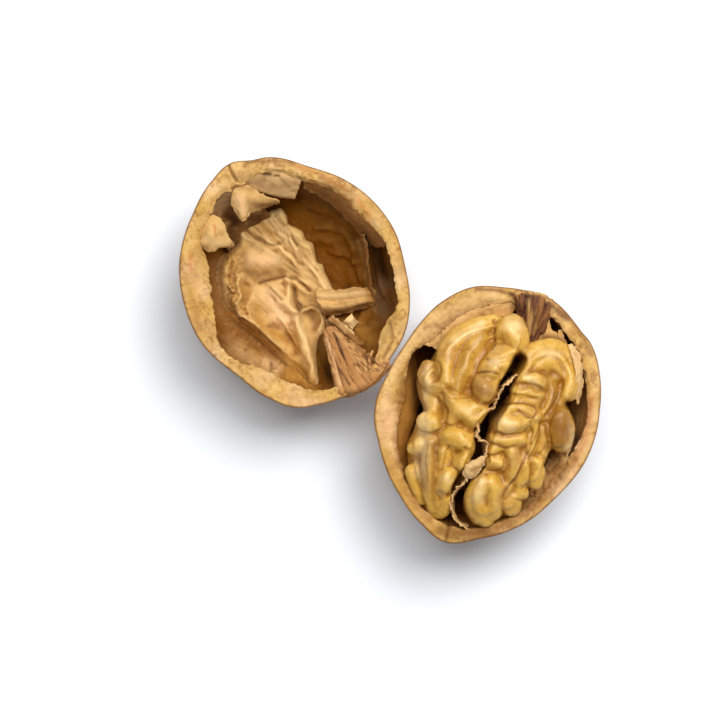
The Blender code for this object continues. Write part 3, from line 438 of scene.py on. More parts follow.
# Paint: the colour's name, strength, half width in millimetres and route in sixths of a pixel.
PLATE_PAINT = [
    ("pale", 0.9, 1.3, [(600, 420), (690, 540), (780, 660), (860, 770), (930, 850)]),
    ("tan", 0.8, 0.9, [(470, 500), (540, 580), (640, 640), (740, 730)]),
    ("olive", 0.7, 0.8, [(420, 500), (470, 560), (520, 600)]),
    ("brown", 0.7, 0.9, [(430, 640), (440, 740), (500, 790), (600, 780), (660, 750)]),
    ("pink", 0.9, 0.9, [(480, 670), (540, 680), (600, 680)]),
    # This and the next dark stroke are painted shade in grooves of the plate.
    ("dark", 0.8, 0.22, [(520, 815), (600, 790), (680, 775), (745, 790), (790, 820), (830, 865)]),
    ("dark", 0.8, 0.16, [(440, 490), (500, 545), (590, 580), (650, 575)]),
    ("brown", 0.6, 0.14, [(540, 400), (600, 490), (690, 590), (790, 700)]),
    ("brown", 0.6, 0.14, [(620, 410), (690, 500), (760, 580)]),
    ("ochre", 0.8, 1.2, [(350, 660), (350, 760), (360, 860), (350, 960)]),
    ("dark", 0.6, 0.5, [(330, 860), (330, 930), (335, 1000)]),
    ("ochre", 0.7, 0.9, [(430, 840), (430, 930), (440, 1000)]),
    ("pink", 1.0, 1.5, [(600, 900), (640, 980), (690, 1040)]),
    ("pale", 0.9, 0.5, [(610, 860), (660, 910), (700, 962), (745, 1020), (780, 1090), (800, 1170),
        (825, 1280)]),
    # Painted shade in a groove.
    ("brown", 0.8, 0.25, [(590, 850), (625, 885), (660, 915)]),
    ("pale", 0.8, 0.4, [(690, 790), (695, 870), (715, 940)]),
    # Painted shade in a groove and a dent beside it, in this and the next stroke.
    ("dark", 0.7, 0.35, [(735, 860), (745, 930), (765, 985)]),
    ("dark", 0.8, 0.45, [(765, 940), (790, 975)]),
    ("brown", 0.8, 0.8, [(840, 1010), (870, 1060), (860, 1100)]),
    ("pale", 0.6, 0.3, [(790, 985), (850, 972), (900, 1000), (915, 1060), (890, 1120)]),
    ("ochre", 1.0, 0.8, [(600, 1110), (640, 1140), (680, 1160)]),
    ("ochre", 1.0, 0.7, [(700, 1130), (735, 1190), (740, 1250)]),
    ("ochre", 0.9, 0.8, [(500, 960), (520, 1050), (560, 1120)]),
    ("pale", 0.5, 0.3, [(350, 980), (430, 1030), (510, 1092)]),
    ("umber", 0.7, 0.3, [(520, 1120), (620, 1200), (720, 1290), (800, 1370)]),
    ("deep", 0.85, 0.7, [(640, 1220), (720, 1300), (800, 1370), (850, 1430)]),
    ("dark", 0.5, 0.5, [(780, 1390), (860, 1450)]),
    # Painted shadow along the crack at the plate's lower edge.
    ("brown", 0.9, 0.35, [(335, 1010), (400, 1060), (480, 1116), (560, 1190), (650, 1268), (740, 1338),
        (820, 1420)]),
    ("ochre", 0.7, 0.5, [(600, 1215), (700, 1290), (790, 1370)]),
    ("pale", 0.8, 0.4, [(880, 890), (960, 900), (1010, 915)]),
    ("ochre", 0.9, 0.7, [(700, 1290), (780, 1350), (850, 1420)]),
    ("tan", 0.7, 0.7, [(860, 1180), (850, 1280), (858, 1380)]),
    ("brown", 0.7, 0.5, [(880, 1380), (872, 1450), (840, 1440)]),
    ("olive", 0.6, 0.6, [(560, 620), (700, 700), (760, 740)]),
    ("brown", 0.7, 0.12, [(470, 440), (520, 500), (560, 560)]),
    ("brown", 0.6, 0.12, [(700, 560), (770, 640), (800, 720)]),
]
EMPTY_WALL_RELIEF = [
    (0.5, 0.5, [(870, 470), (960, 468), (1050, 500), (1100, 580), (1120, 690)]),
    (0.6, 0.4, [(820, 560), (900, 540), (980, 570), (1030, 640)]),
    (0.8, 0.5, [(780, 300), (880, 350), (980, 390), (1070, 470)]),
    (0.4, 0.5, [(960, 620), (1060, 640), (1130, 700), (1150, 800)]),
    (0.5, 0.5, [(1120, 1100), (1170, 1000), (1230, 900)]),
    (0.5, 0.4, [(1060, 1130), (1150, 1110), (1220, 1060)]),
    (0.35, 0.5, [(1225, 560), (1240, 680), (1270, 800), (1300, 900)]),
    (0.6, 0.5, [(600, 1400), (660, 1340), (690, 1290)]),
    (0.5, 0.5, [(860, 1190), (880, 1300), (930, 1400)]),
]
EMPTY_WALL_PAINT = [
    ("tan", 0.8, 1.5, [(400, 1215), (480, 1290), (590, 1350), (650, 1330)]),
    ("grey_tan", 0.5, 0.8, [(330, 1150), (420, 1260), (520, 1330)]),
    ("pink", 0.7, 0.8, [(560, 1290), (640, 1350)]),
    ("umber", 0.7, 1.1, [(370, 1060), (450, 1150), (560, 1240)]),
    # Painted shadow along the crack under the plate's edge.
    ("dark", 0.6, 0.3, [(335, 1025), (400, 1078), (480, 1135), (560, 1208), (650, 1288), (730, 1352)]),
    ("ochre", 1.0, 1.2, [(700, 1370), (780, 1400), (840, 1430)]),
    # Painted shade in the hollow between the plate's spine and the fibres, in this and the next stroke.
    ("brown", 0.8, 1.2, [(930, 1250), (960, 1350), (980, 1420)]),
    ("dark", 0.9, 0.9, [(880, 1190), (920, 1280), (960, 1390)]),
    # Down the left wall: the wall's brown, darkened further as painted shade in the groove under the rim, in
    # this and the next stroke.
    ("brown", 0.8, 1.2, [(280, 700), (270, 850), (290, 980)]),
    ("umber", 0.8, 1.0, [(250, 700), (262, 850), (300, 1020), (350, 1160)]),
    # Painted shade in the hole by the tip.
    ("dark", 1.0, 1.6, [(280, 350), (340, 430), (380, 520)]),
    ("ochre", 0.5, 0.4, [(870, 480), (960, 480), (1060, 520), (1100, 600)]),
    ("deep", 0.7, 1.8, [(800, 380), (940, 420), (1060, 500)]),
    ("deep", 0.6, 1.5, [(1200, 640), (1240, 760), (1220, 900)]),
    ("deep", 0.7, 1.6, [(880, 1270), (980, 1180), (1100, 1120)]),
    ("umber", 0.7, 0.25, [(800, 330), (860, 400), (960, 430), (1040, 500)]),
    ("ochre", 0.6, 1.8, [(1000, 1060), (1100, 1060), (1180, 1120), (1210, 1180)]),
    # Painted shade on the right wall beside the standing membrane.
    ("dark", 1.0, 1.5, [(1200, 560), (1260, 680), (1300, 800)]),
    ("tan", 0.4, 0.4, [(1130, 560), (1180, 700), (1200, 870), (1250, 1000)]),
    ("grey", 0.7, 1.3, [(1280, 840), (1250, 900), (1290, 1000)]),
    ("grey", 0.8, 0.9, [(830, 250), (950, 300), (1080, 390), (1160, 480)]),
]
# Papery sheets: rows of points across each, (x, y, height over the rim in millimetres), in sixths of a pixel.
EMPTY_SHEETS = {
    "fine_top_flap": ("grey_tan", 0.3, [
        [(430, 138, -1.2), (560, 124, -1.1), (690, 130, -1.1), (820, 178, -1.3)],
        [(435, 195, -1.0), (560, 188, -0.7), (670, 190, -0.8), (785, 220, -1.3)],
        [(465, 232, -1.5), (565, 232, -1.3), (675, 245, -1.6), (765, 265, -2.2)],
        [(500, 264, -2.2), (570, 280, -2.3), (675, 296, -2.7), (748, 305, -3.1)],
        [(515, 266, -3.6), (575, 284, -3.9), (675, 302, -4.3), (740, 310, -4.7)],
    ]),
    "fine_tip_fold": ("rim", 0.35, [
        [(392, 215, -1.3), (455, 228, -1.2), (500, 264, -1.5), (570, 300, -2.2), (655, 325, -3.4)],
        [(375, 290, -1.2), (432, 300, -0.8), (480, 325, -1.6), (550, 336, -2.6), (652, 336, -4.0)],
        [(368, 345, -1.8), (425, 362, -1.2), (465, 372, -2.2), (510, 362, -3.2), (590, 350, -4.4)],
        [(408, 425, -2.6), (436, 456, -2.2), (455, 430, -2.8), (480, 400, -3.8), (540, 370, -5.0)],
    ]),
    "fine_side_flap": ("rim", 0.35, [
        [(186, 466, -1.5), (240, 418, -1.4), (298, 440, -1.4), (330, 500, -2.0)],
        [(178, 540, -1.5), (245, 508, -0.4), (305, 520, -1.0), (350, 555, -2.0)],
        [(180, 592, -1.6), (240, 580, -0.9), (300, 588, -1.5), (380, 588, -2.8)],
        [(200, 616, -2.2), (240, 636, -2.1), (300, 612, -2.4), (374, 604, -3.5)],
    ]),
    "cross_fold": ("tan", 0.3, [
        [(880, 850, -11.0), (870, 890, -9.9), (885, 930, -10.1), (905, 966, -9.8), (930, 1010, -11.6)],
        [(930, 862, -10.6), (925, 895, -9.5), (930, 930, -9.9), (940, 968, -9.4), (955, 1012, -11.4)],
        [(985, 866, -10.2), (985, 896, -9.1), (985, 934, -9.6), (985, 970, -9.0), (990, 1012, -11.0)],
        [(1060, 856, -9.8), (1060, 888, -8.6), (1060, 926, -8.9), (1060, 960, -8.5), (1062, 1002, -10.4)],
        [(1130, 848, -9.4), (1130, 878, -8.1), (1130, 912, -8.4), (1130, 944, -8.1), (1130, 980, -9.9)],
        [(1185, 850, -9.8), (1190, 876, -8.8), (1192, 906, -9.0), (1190, 936, -8.9), (1180, 964, -10.4)],
        [(1230, 850, -10.4), (1236, 876, -9.6), (1240, 902, -10.0), (1236, 930, -9.8), (1225, 958, -11.0)],
    ]),
    "fibre_web": ("fibre", 0.5, [
        [(915, 1112, -7.2), (932, 1100, -6.9), (950, 1092, -6.9), (972, 1084, -7.2)],
        [(930, 1185, -5.9), (968, 1170, -5.2), (1005, 1156, -5.2), (1045, 1145, -6.0)],
        [(952, 1270, -4.4), (1008, 1250, -3.4), (1066, 1232, -3.6), (1130, 1208, -4.9)],
        [(980, 1365, -2.8), (1048, 1340, -1.8), (1122, 1306, -2.1), (1206, 1262, -3.6)],
        [(1000, 1440, -1.2), (1080, 1414, -0.3), (1170, 1362, -0.6), (1266, 1296, -2.0)],
        [(1010, 1486, -0.4), (1092, 1468, 0.2), (1196, 1412, 0.0), (1306, 1312, -0.9)],
        [(1022, 1512, -1.2), (1100, 1498, -1.0), (1216, 1440, -1.1), (1330, 1330, -1.5)],
    ]),
    "tip_lining": ("brown", 0.3, [
        [(205, 430, -1.0), (262, 305, -0.9), (370, 250, -0.9), (470, 225, -0.9)],
        [(240, 460, -2.2), (300, 350, -2.2), (395, 300, -2.0), (490, 270, -2.2)],
        [(280, 510, -4.6), (340, 425, -4.8), (420, 370, -4.6), (530, 330, -4.4)],
        [(320, 590, -8.0), (380, 500, -8.0), (455, 430, -7.6), (570, 380, -7.0)],
        [(335, 640, -11.6), (400, 560, -11.6), (485, 470, -11.2), (600, 410, -10.8)],
    ]),
    "membrane_ribbon": ("umber", 0.25, [
        [(780, 190, -0.7), (800, 215, -1.4), (800, 245, -2.6)],
        [(890, 232, -0.6), (890, 262, -1.6), (885, 295, -3.0)],
        [(990, 268, -0.6), (975, 305, -1.9), (955, 335, -3.6)],
        [(1075, 330, -0.6), (1050, 372, -2.1), (1020, 395, -4.2)],
        [(1150, 420, -0.7), (1120, 455, -2.3), (1090, 470, -4.6)],
        [(1235, 505, -0.8), (1200, 528, -2.4), (1160, 535, -5.0)],
        [(1300, 600, -0.9), (1265, 608, -2.6), (1230, 605, -5.2)],
    ]),
    "standing_membrane": ("umber", 0.2, [
        [(1140, 520, -4.6), (1150, 526, -3.6), (1166, 534, -3.0)],
        [(1158, 600, -6.4), (1168, 604, -5.0), (1182, 608, -4.2)],
        [(1170, 700, -8.4), (1180, 702, -6.8), (1194, 706, -6.0)],
        [(1184, 800, -9.6), (1194, 800, -8.0), (1208, 802, -7.2)],
        [(1200, 900, -10.4), (1212, 898, -9.2), (1226, 894, -8.6)],
        [(1246, 1010, -11.6), (1256, 1004, -10.6), (1268, 996, -9.9)],
    ]),
    "fan_flap": ("umber", 0.18, [
        [(928, 1052, -8.0), (950, 1038, -7.2), (975, 1020, -7.4)],
        [(990, 1108, -7.6), (1016, 1090, -6.5), (1042, 1072, -6.9)],
        [(1056, 1160, -7.2), (1080, 1144, -6.2), (1104, 1128, -6.7)],
        [(1112, 1212, -7.4), (1134, 1198, -6.6), (1156, 1186, -7.2)],
    ]),
    "chip": ("pale", 0.14, [
        [(1034, 1062, -9.7), (1052, 1042, -9.3), (1092, 1006, -9.6)],
        [(1060, 1074, -9.5), (1080, 1056, -9.0), (1104, 1032, -9.3)],
        [(1094, 1104, -9.9), (1112, 1078, -9.8), (1134, 1058, -10.1)],
    ]),
}
KERNEL_SHEETS = {
    "bundle_web": ("plum", 0.5, [
        [(868, 72, -0.6), (930, 66, -0.5), (990, 74, -0.5), (1052, 94, -0.6), (1110, 126, -0.7)],
        [(882, 140, -0.1), (935, 136, 0.3), (990, 142, 0.3), (1045, 158, 0.0), (1092, 184, -0.5)],
        [(904, 230, -0.9), (942, 230, -0.5), (985, 232, -0.4), (1025, 238, -0.6), (1052, 248, -1.0)],
        [(918, 310, -1.7), (947, 310, -1.3), (977, 312, -1.2), (1000, 314, -1.5), (1018, 320, -1.9)],
        [(914, 390, -2.9), (937, 390, -2.5), (957, 390, -2.4), (972, 388, -2.7), (984, 385, -3.1)],
        [(884, 462, -4.6), (904, 466, -4.2), (924, 462, -4.1), (940, 455, -4.3), (950, 448, -4.7)],
    ]),
    "fine_septum": ("paper", 0.16, [
        [(880, 560, 3.4), (862, 582, 0.2), (848, 598, -5.0)],
        [(806, 622, 4.9), (800, 640, 0.5), (791, 654, -5.0)],
        [(750, 706, 5.3), (767, 705, 0.5), (772, 709, -5.0)],
        [(728, 764, 5.0), (731, 767, 0.5), (735, 771, -5.0)],
        [(648, 812, 5.5), (676, 822, 0.5), (683, 826, -5.0)],
        [(640, 886, 4.9), (648, 884, 0.5), (652, 888, -5.0)],
        [(622, 930, 5.4), (648, 937, 0.5), (655, 941, -5.0)],
        [(690, 978, 4.8), (676, 985, 0.5), (678, 989, -5.0)],
        [(680, 1050, 5.0), (684, 1050, 0.5), (689, 1054, -5.0)],
        [(640, 1110, 4.6), (647, 1112, 0.3), (652, 1116, -5.0)],
        [(580, 1180, 3.9), (588, 1184, 0.0), (593, 1188, -5.0)],
        [(522, 1245, 3.0), (532, 1251, -0.5), (537, 1255, -5.0)],
        [(484, 1310, 2.0), (498, 1314, -1.0), (503, 1318, -5.0)],
        [(490, 1390, 1.1), (504, 1392, -1.5), (509, 1396, -5.0)],
        [(520, 1452, 0.3), (533, 1450, -2.0), (538, 1454, -5.0)],
        [(580, 1490, -0.4), (589, 1483, -2.5), (594, 1487, -5.0)],
    ]),
    "septum_patch": ("paper", 0.3, [
        [(596, 1078, 4.9), (640, 1060, 5.8), (692, 1045, 5.7)],
        [(562, 1112, 4.7), (615, 1105, 5.6), (676, 1088, 5.5)],
        [(556, 1150, 4.4), (600, 1150, 5.2), (652, 1130, 5.2)],
        [(572, 1198, 3.7), (592, 1188, 4.2), (618, 1170, 4.5)],
    ]),
    "upper_ledge": ("tan", 0.4, [
        [(330, 390, -0.7), (375, 405, -1.1), (420, 420, -1.7)],
        [(415, 328, -0.6), (438, 348, -0.9), (462, 372, -1.5)],
        [(515, 238, -0.5), (530, 265, -0.8), (550, 302, -1.4)],
        [(605, 192, -0.4), (620, 218, -0.7), (640, 250, -1.2)],
        [(695, 158, -0.5), (705, 188, -0.8), (718, 225, -1.4)],
        [(788, 132, -0.8), (790, 172, -1.3), (792, 220, -2.0)],
        [(872, 118, -1.0), (870, 162, -1.7), (860, 212, -2.4)],
    ]),
    "fine_right_lining": ("tan", 0.35, [
        [(1075, 175, -0.6), (1048, 215, -0.9), (1030, 262, -1.3)],
        [(1090, 290, -1.5), (1060, 305, -1.2), (1020, 318, -1.6)],
        [(1150, 335, -1.6), (1100, 350, -1.3), (1010, 362, -2.0)],
        [(1168, 385, -2.0), (1110, 392, -1.9), (1000, 400, -2.8)],
    ]),
    "lining_bridge": ("tan", 0.3, [
        [(1128, 300, -1.1), (1150, 296, -1.1)],
        [(1136, 335, -1.3), (1162, 332, -1.2)],
        [(1160, 372, -1.8), (1182, 372, -1.5)],
        [(1190, 430, -2.2), (1212, 420, -1.8)],
    ]),
    "outer_lining": ("paper", 0.35, [
        [(1090, 150, -0.4), (1125, 205, -1.0)],
        [(1180, 215, -0.4), (1165, 270, -1.1)],
        [(1240, 300, -0.4), (1210, 340, -1.2)],
        [(1285, 390, -0.4), (1250, 420, -1.3)],
        [(1310, 480, -0.5), (1272, 500, -1.5)],
        [(1325, 580, -0.6), (1292, 590, -1.8)],
    ]),
    "lower_lining": ("tan", 0.25, [
        [(1120, 1010, -4.6), (1160, 985, -3.0), (1205, 950, -1.5)],
        [(1086, 1070, -5.2), (1140, 1070, -3.0), (1196, 1056, -1.5)],
        [(1050, 1130, -5.2), (1110, 1140, -2.8), (1160, 1146, -1.4)],
        [(1000, 1210, -4.8), (1050, 1216, -2.8), (1100, 1226, -1.4)],
        [(930, 1290, -4.4), (970, 1296, -2.8), (1010, 1306, -1.5)],
    ]),
    "lobe_flake": ("paper", 0.25, [
        [(1180, 390, 1.0), (1205, 385, 0.4), (1228, 400, -0.4)],
        [(1205, 450, 1.6), (1232, 448, 0.8), (1258, 455, -0.2)],
        [(1225, 530, 1.8), (1250, 530, 0.9), (1274, 540, -0.2)],
        [(1222, 620, 1.6), (1250, 625, 0.8), (1276, 640, -0.3)],
        [(1210, 700, 1.0), (1228, 712, 0.4), (1246, 745, -0.4)],
    ]),
}
# How ragged some sheets are beside the others.
RAGGED = {"fan_flap": 1.6, "lower_lining": 2.6, "fine_septum": 2.4, "septum_patch": 1.8, "upper_ledge": 1.6,
    "chip": 0.1, "cross_fold": 1.3}
SHEET_PAINT = {
    "bundle_web": [
        ("rim", 0.9, 0.3, [(860, 84), (930, 70), (1000, 80), (1060, 98), (1115, 132)]),
        ("tan", 0.6, 0.25, [(950, 120), (962, 220), (955, 320)]), ("tan", 0.5, 0.2, [(1000, 150),
            (990, 260), (968, 360)]),
        ("dark_plum", 0.8, 0.4, [(885, 130), (905, 230), (915, 330)]), ("brown", 0.6, 0.4, [(930, 400),
            (910, 460)]),
    ],
    # The fan flap's dark stroke is painted shade along its lower edge.
    "fan_flap": [("pale", 0.7, 0.25, [(975, 1020), (1042, 1072), (1104, 1128)]),
        ("dark", 0.6, 0.3, [(950, 1060), (1050, 1150)])],
    "lower_lining": [
        ("brown", 0.8, 0.5, [(1110, 1030), (1150, 1100), (1090, 1170)]), ("grey", 0.7, 0.6, [(1070, 1100),
            (1020, 1200)]),
        ("umber", 0.8, 0.6, [(1160, 1120), (1080, 1240), (980, 1310)]),
    ],
    "septum_patch": [("brown", 0.6, 0.3, [(600, 1130), (650, 1110), (680, 1080)]),
        ("pale", 0.7, 0.4, [(580, 1110), (630, 1080)])],
    "fine_top_flap": [
        # The two dark strokes are painted shade in the flap's holes.
        ("dark", 1.0, 0.28, [(562, 172), (600, 172)]), ("dark", 1.0, 0.16, [(628, 182), (655, 182)]),
        ("brown", 0.8, 0.09, [(655, 188), (720, 245)]), ("pale", 0.6, 0.5, [(500, 262), (620, 288),
            (740, 302)]),
    ],
    "fine_side_flap": [("rust", 0.6, 0.15, [(262, 478), (272, 545)]), ("pale", 0.7, 0.7, [(215, 560),
        (300, 590)])],
    "fine_tip_fold": [
        ("pink", 0.7, 0.7, [(415, 320), (440, 400)]), ("tan", 0.8, 0.9, [(470, 300), (560, 320), (650, 335)]),
        # The first brown stroke is painted shade on the fold's right part.
        ("brown", 0.6, 0.5, [(480, 340), (560, 350), (640, 340)]), ("brown", 0.5, 0.4, [(400, 250),
            (470, 260)]),
    ],
    "fine_right_lining": [("brown", 0.8, 0.5, [(1050, 340), (1130, 350)]), ("umber", 0.6, 0.6, [(1000, 380),
        (1150, 385)])],
    "tip_lining": [
        # The dark strokes are painted shade in the hole and hollows by the tip.
        ("grey", 0.8, 1.2, [(250, 380), (310, 330), (380, 300)]), ("dark", 0.9, 0.8, [(330, 410),
            (375, 440)]),
        ("dark", 0.6, 0.7, [(350, 500), (360, 580)]), ("dark", 0.6, 0.7, [(480, 440), (520, 420)]),
    ],
    # On the cross fold, the pale stroke is painted light along its crest and the brown stroke painted shade
    # along its lower edge.
    "cross_fold": [("pale", 0.6, 0.5, [(900, 905), (1060, 895), (1150, 885)]),
        ("ochre", 0.9, 0.9, [(1200, 860), (1210, 900), (1200, 950)]), ("brown", 0.8, 0.4, [(930, 1000),
            (1060, 985), (1180, 945)])],
    "fibre_web": [
        ("dark_plum", 0.9, 0.18, [(985, 1130), (1040, 1260), (1100, 1420)]),
            ("dark_plum", 0.8, 0.14, [(1010, 1330), (1080, 1440)]),
        ("dark_plum", 0.9, 0.2, [(1060, 1180), (1120, 1280), (1210, 1360)]),
            ("dark_plum", 0.8, 0.2, [(1160, 1262), (1210, 1310), (1290, 1330)]),
        ("brown", 0.7, 0.4, [(1100, 1190), (1190, 1270), (1260, 1300)]), ("umber", 0.6, 0.5, [(1010, 1500),
            (1120, 1480)]),
        ("pink", 0.5, 0.5, [(940, 1170), (990, 1330), (1020, 1440)]),
    ],
}
# Sheets streaked like fibres: the light and the dark paint, and the point that the streaks run out from.
SHEET_ROOTS = {
    "fibre_web": ("fibre", "plum", (892, 1010)),
    "bundle_web": ("umber", "dark_plum", (925, 560)),
    "membrane_ribbon": ("umber", "brown", (1700, -600)),
}
# Fibres at the kernel half's stem end, as those of the empty half below.
BUNDLE = [
    (62, 0.2, [(878, 92), (900, 180), (926, 280), (928, 370), (905, 440)]),
    (56, 0.0, [(915, 88), (938, 180), (952, 280), (944, 375)]),
    (58, 0.2, [(952, 90), (968, 180), (972, 280), (958, 380)]),
    (56, 0.0, [(996, 96), (1002, 190), (992, 290), (974, 380)]),
    (58, 0.2, [(1036, 112), (1032, 200), (1014, 290), (990, 365)]),
    (54, 0.1, [(1074, 132), (1056, 210), (1036, 300)]),
    (46, 0.2, [(1110, 150), (1088, 190), (1064, 220)]),
    (90, 1.4, [(920, 130), (945, 260), (950, 360), (925, 440)]),
    (90, 1.4, [(1020, 150), (1000, 250), (975, 340)]),
]
# Fibres at the empty half's stem end: radius in hundredths of a millimetre, depth under the rim, and route.
FAN = [
    (40, 0.75, [(922, 1112), (940, 1200), (968, 1300), (995, 1400), (1014, 1480)]),
    (36, 0.25, [(940, 1112), (982, 1200), (1024, 1310), (1056, 1410), (1068, 1482)]),
    (30, 0.15, [(956, 1104), (1016, 1200), (1060, 1300), (1094, 1390), (1112, 1466)]),
    (36, 0.1, [(972, 1096), (1046, 1200), (1096, 1290), (1132, 1370), (1156, 1446)]),
    (30, 0.3, [(1010, 1130), (1084, 1220), (1130, 1290), (1166, 1350), (1196, 1418)]),
    (34, 0.5, [(1090, 1190), (1140, 1262), (1184, 1330), (1226, 1392)]),
    (30, -0.1, [(1216, 1236), (1196, 1290), (1206, 1336), (1250, 1346), (1300, 1310)]),
    (28, -0.2, [(1256, 1236), (1238, 1290), (1262, 1316), (1306, 1296)]),
]


# Plan and numbers


def plan(points):
    """Pixels of the photograph as metres across the ground."""
    return (np.asarray(points, float) - PLAN_ORIGIN) * (PIXEL, -PIXEL)


def on_empty(points):
    return plan(EMPTY_CORNER + np.asarray(points, float) / 6)


def on_kernel(points):
    return plan(KERNEL_CORNER + np.asarray(points, float) / 6)


def smoothstep(low, high, value):
    share = np.clip((value - low) / (high - low), 0, 1)
    return share * share * (3 - 2 * share)


def blend(first, second, share):
    return first + (second - first) * share


def through(a, b, c, d, share):
    """The smooth curve through b and c, which a and d lead into and out of."""
    square = share * share
    cube = square * share
    bend = 2 * a - 5 * b + 4 * c - d
    return 0.5 * (2 * b + (c - a) * share + bend * square + (3 * b - a - 3 * c + d) * cube)


def grain(points, size, seed=0):
    """Smooth noise from about -1 to 1 at the points, with lumps about size across."""
    places = points / size + (seed * 7.31, seed * 3.17, seed * 5.71)
    return np.array([noise.noise(place) for place in places.tolist()])


def wander(spots, size, reach, seed):
    """How far lines stray sideways over plan spots."""
    flat = np.column_stack([spots, np.zeros(len(spots))])
    return np.column_stack([grain(flat, size, seed), grain(flat, size, seed + 1)]) * reach


def towards(tint, paint_colour, strength, low, high, value):
    """The tint taken towards a paint as value runs from low to high."""
    return blend(tint, paint_colour, (strength * smoothstep(low, high, value))[:, None])


def colour(red, green, blue):
    """A colour given as it looks on a screen, 0 to 255."""
    shares = np.array([red, green, blue]) / 255
    return np.where(shares <= 0.04045, shares / 12.92, ((shares + 0.055) / 1.055) ** 2.4)


class Outline:
    """A closed outline round a centre, as a radius for every angle."""

    def __init__(self, centre, arms):
        self.centre = centre
        angles = np.arctan2(arms[:, 1], arms[:, 0])
        order = np.argsort(angles)
        self.angles = angles[order]
        self.lengths = np.hypot(arms[:, 0], arms[:, 1])[order]

    def radius(self, angle):
        angle = (angle + math.pi) % math.tau - math.pi
        after = np.searchsorted(self.angles, angle, side="right")
        knots = [(after + step) % len(self.angles) for step in (-2, -1, 0, 1)]
        width = (self.angles[knots[2]] - self.angles[knots[1]]) % math.tau
        share = ((angle - self.angles[knots[1]]) % math.tau) / width
        return through(*(self.lengths[knot] for knot in knots), share)


def outline(centre, points):
    return Outline(centre, points - centre)


class Half:
    """One half-shell: its rim outlines, its axis and the formulas of its outer and inner surface."""

    def __init__(self, centre, tip, stem, outer, inner):
        self.centre = plan(centre)
        self.outer = outline(self.centre, plan(outer))
        self.inner = outline(self.centre, plan(inner))
        self.tip = plan(tip)
        reach = plan(stem) - self.tip
        self.axis = reach / np.hypot(*reach)
        self.axis_angle = math.atan2(self.axis[1], self.axis[0])

    def body_radius(self, angle):
        """The plain oval that the half-shell turns into below its rim."""
        turned = angle - self.axis_angle
        return 1 / np.hypot(np.cos(turned) / HALF_LENGTH, np.sin(turned) / HALF_WIDTH)

    def wall_radius(self, angle):
        """The inner wall's radius below the rim's ledge."""
        return blend(self.outer.radius(angle), self.body_radius(angle), 0.5) - WALL_AT_RIM

    def ledge(self, angle):
        """How far the lining stands in from the wall at the rim."""
        return np.maximum(0, self.wall_radius(angle) - self.inner.radius(angle))

    def floor(self, spots):
        """The height of the bowl's inner surface under plan spots."""
        arms = spots - self.centre
        share = np.hypot(arms[:, 0], arms[:, 1]) / self.wall_radius(np.arctan2(arms[:, 1], arms[:, 0]))
        depth = RIM_HEIGHT - WALL_AT_BOTTOM
        return RIM_HEIGHT - depth * (1 - np.minimum(1, share) ** ROUNDNESS) ** (1 / ROUNDNESS)

    def along_axis(self, points):
        """Points about the half's middle, as (along the nut, across it, up)."""
        x, y = (points[:, :2] - self.centre).T
        ax, ay = self.axis
        return np.stack([x * ax + y * ay, y * ax - x * ay, points[:, 2]], axis=1)

    def place(self, angle, radius, height):
        spots = np.stack([np.cos(angle) * radius, np.sin(angle) * radius], axis=1) + self.centre
        return np.column_stack([spots, np.broadcast_to(height, len(spots))])

    def furrows(self, points):
        """The net of furrows on the outside, stretched along the nut, which fades out over the flat spot."""
        lengthwise = self.along_axis(points)
        stretched = lengthwise / (9, 4, 4)
        net = grain(stretched, MM)
        groove = np.exp(-((net / 0.16) ** 2))
        swell = grain(stretched * 0.6 + np.array([7, 3, 1]) * MM, MM)
        fine = grain(lengthwise / (4, 1.3, 1.6), MM, 3)
        fine_groove = np.exp(-((fine / 0.14) ** 2))
        fade = smoothstep(4 * MM, 8 * MM, np.hypot(lengthwise[:, 0], lengthwise[:, 1]))
        return fade * (FURROW_DEPTH * (0.7 * swell - groove) - 0.14 * MM * fine_groove), groove, fine_groove


HALF = {name: Half(**facts) for name, facts in HALVES.items()}
LINING = outline(HALF["kernel"].centre, on_kernel(LINING_FOOT))
POCKET = on_empty([(350, 1070), (440, 1180), (540, 1270), (640, 1350)])


# Making meshes


def read(mesh):
    flat = np.empty(len(mesh.vertices) * 3)
    mesh.vertices.foreach_get("co", flat)
    return flat.reshape(-1, 3)


def write(mesh, points):
    mesh.vertices.foreach_set("co", np.ascontiguousarray(points, dtype=np.float32).ravel())
    mesh.update()


def read_normals(mesh):
    flat = np.empty(len(mesh.vertices) * 3)
    mesh.vertices.foreach_get("normal", flat)
    return flat.reshape(-1, 3)


def new_mesh(name, fill):
    """A mesh from what fill puts into a bmesh, with its faces turned outwards."""
    mesh = bpy.data.meshes.new(name)
    shape = bmesh.new()
    fill(shape)
    bmesh.ops.recalc_face_normals(shape, faces=shape.faces)
    shape.to_mesh(mesh)
    shape.free()
    mesh.shade_smooth()
    return mesh


def face_outwards(mesh):
    shape = bmesh.new()
    shape.from_mesh(mesh)
    bmesh.ops.recalc_face_normals(shape, faces=shape.faces)
    shape.to_mesh(mesh)
    shape.free()
    mesh.shade_smooth()


def flat_grid(name, across, upwards, size=1):
    """A flat mesh of squares."""
    counts = {"x_segments": across, "y_segments": upwards, "size": size}
    return new_mesh(name, lambda shape: bmesh.ops.create_grid(shape, **counts))


def folded_sphere(name, segments, rows, place):
    """A sphere slit open along its seam: every vertex goes where place(angle, share) puts it, pole to pole."""
    mesh = flat_grid(name, segments, rows)
    x, y, _ = read(mesh).T
    angle = x * math.pi
    share = (y + 1) / 2
    write(mesh, place(angle, share))
    return mesh, angle, share


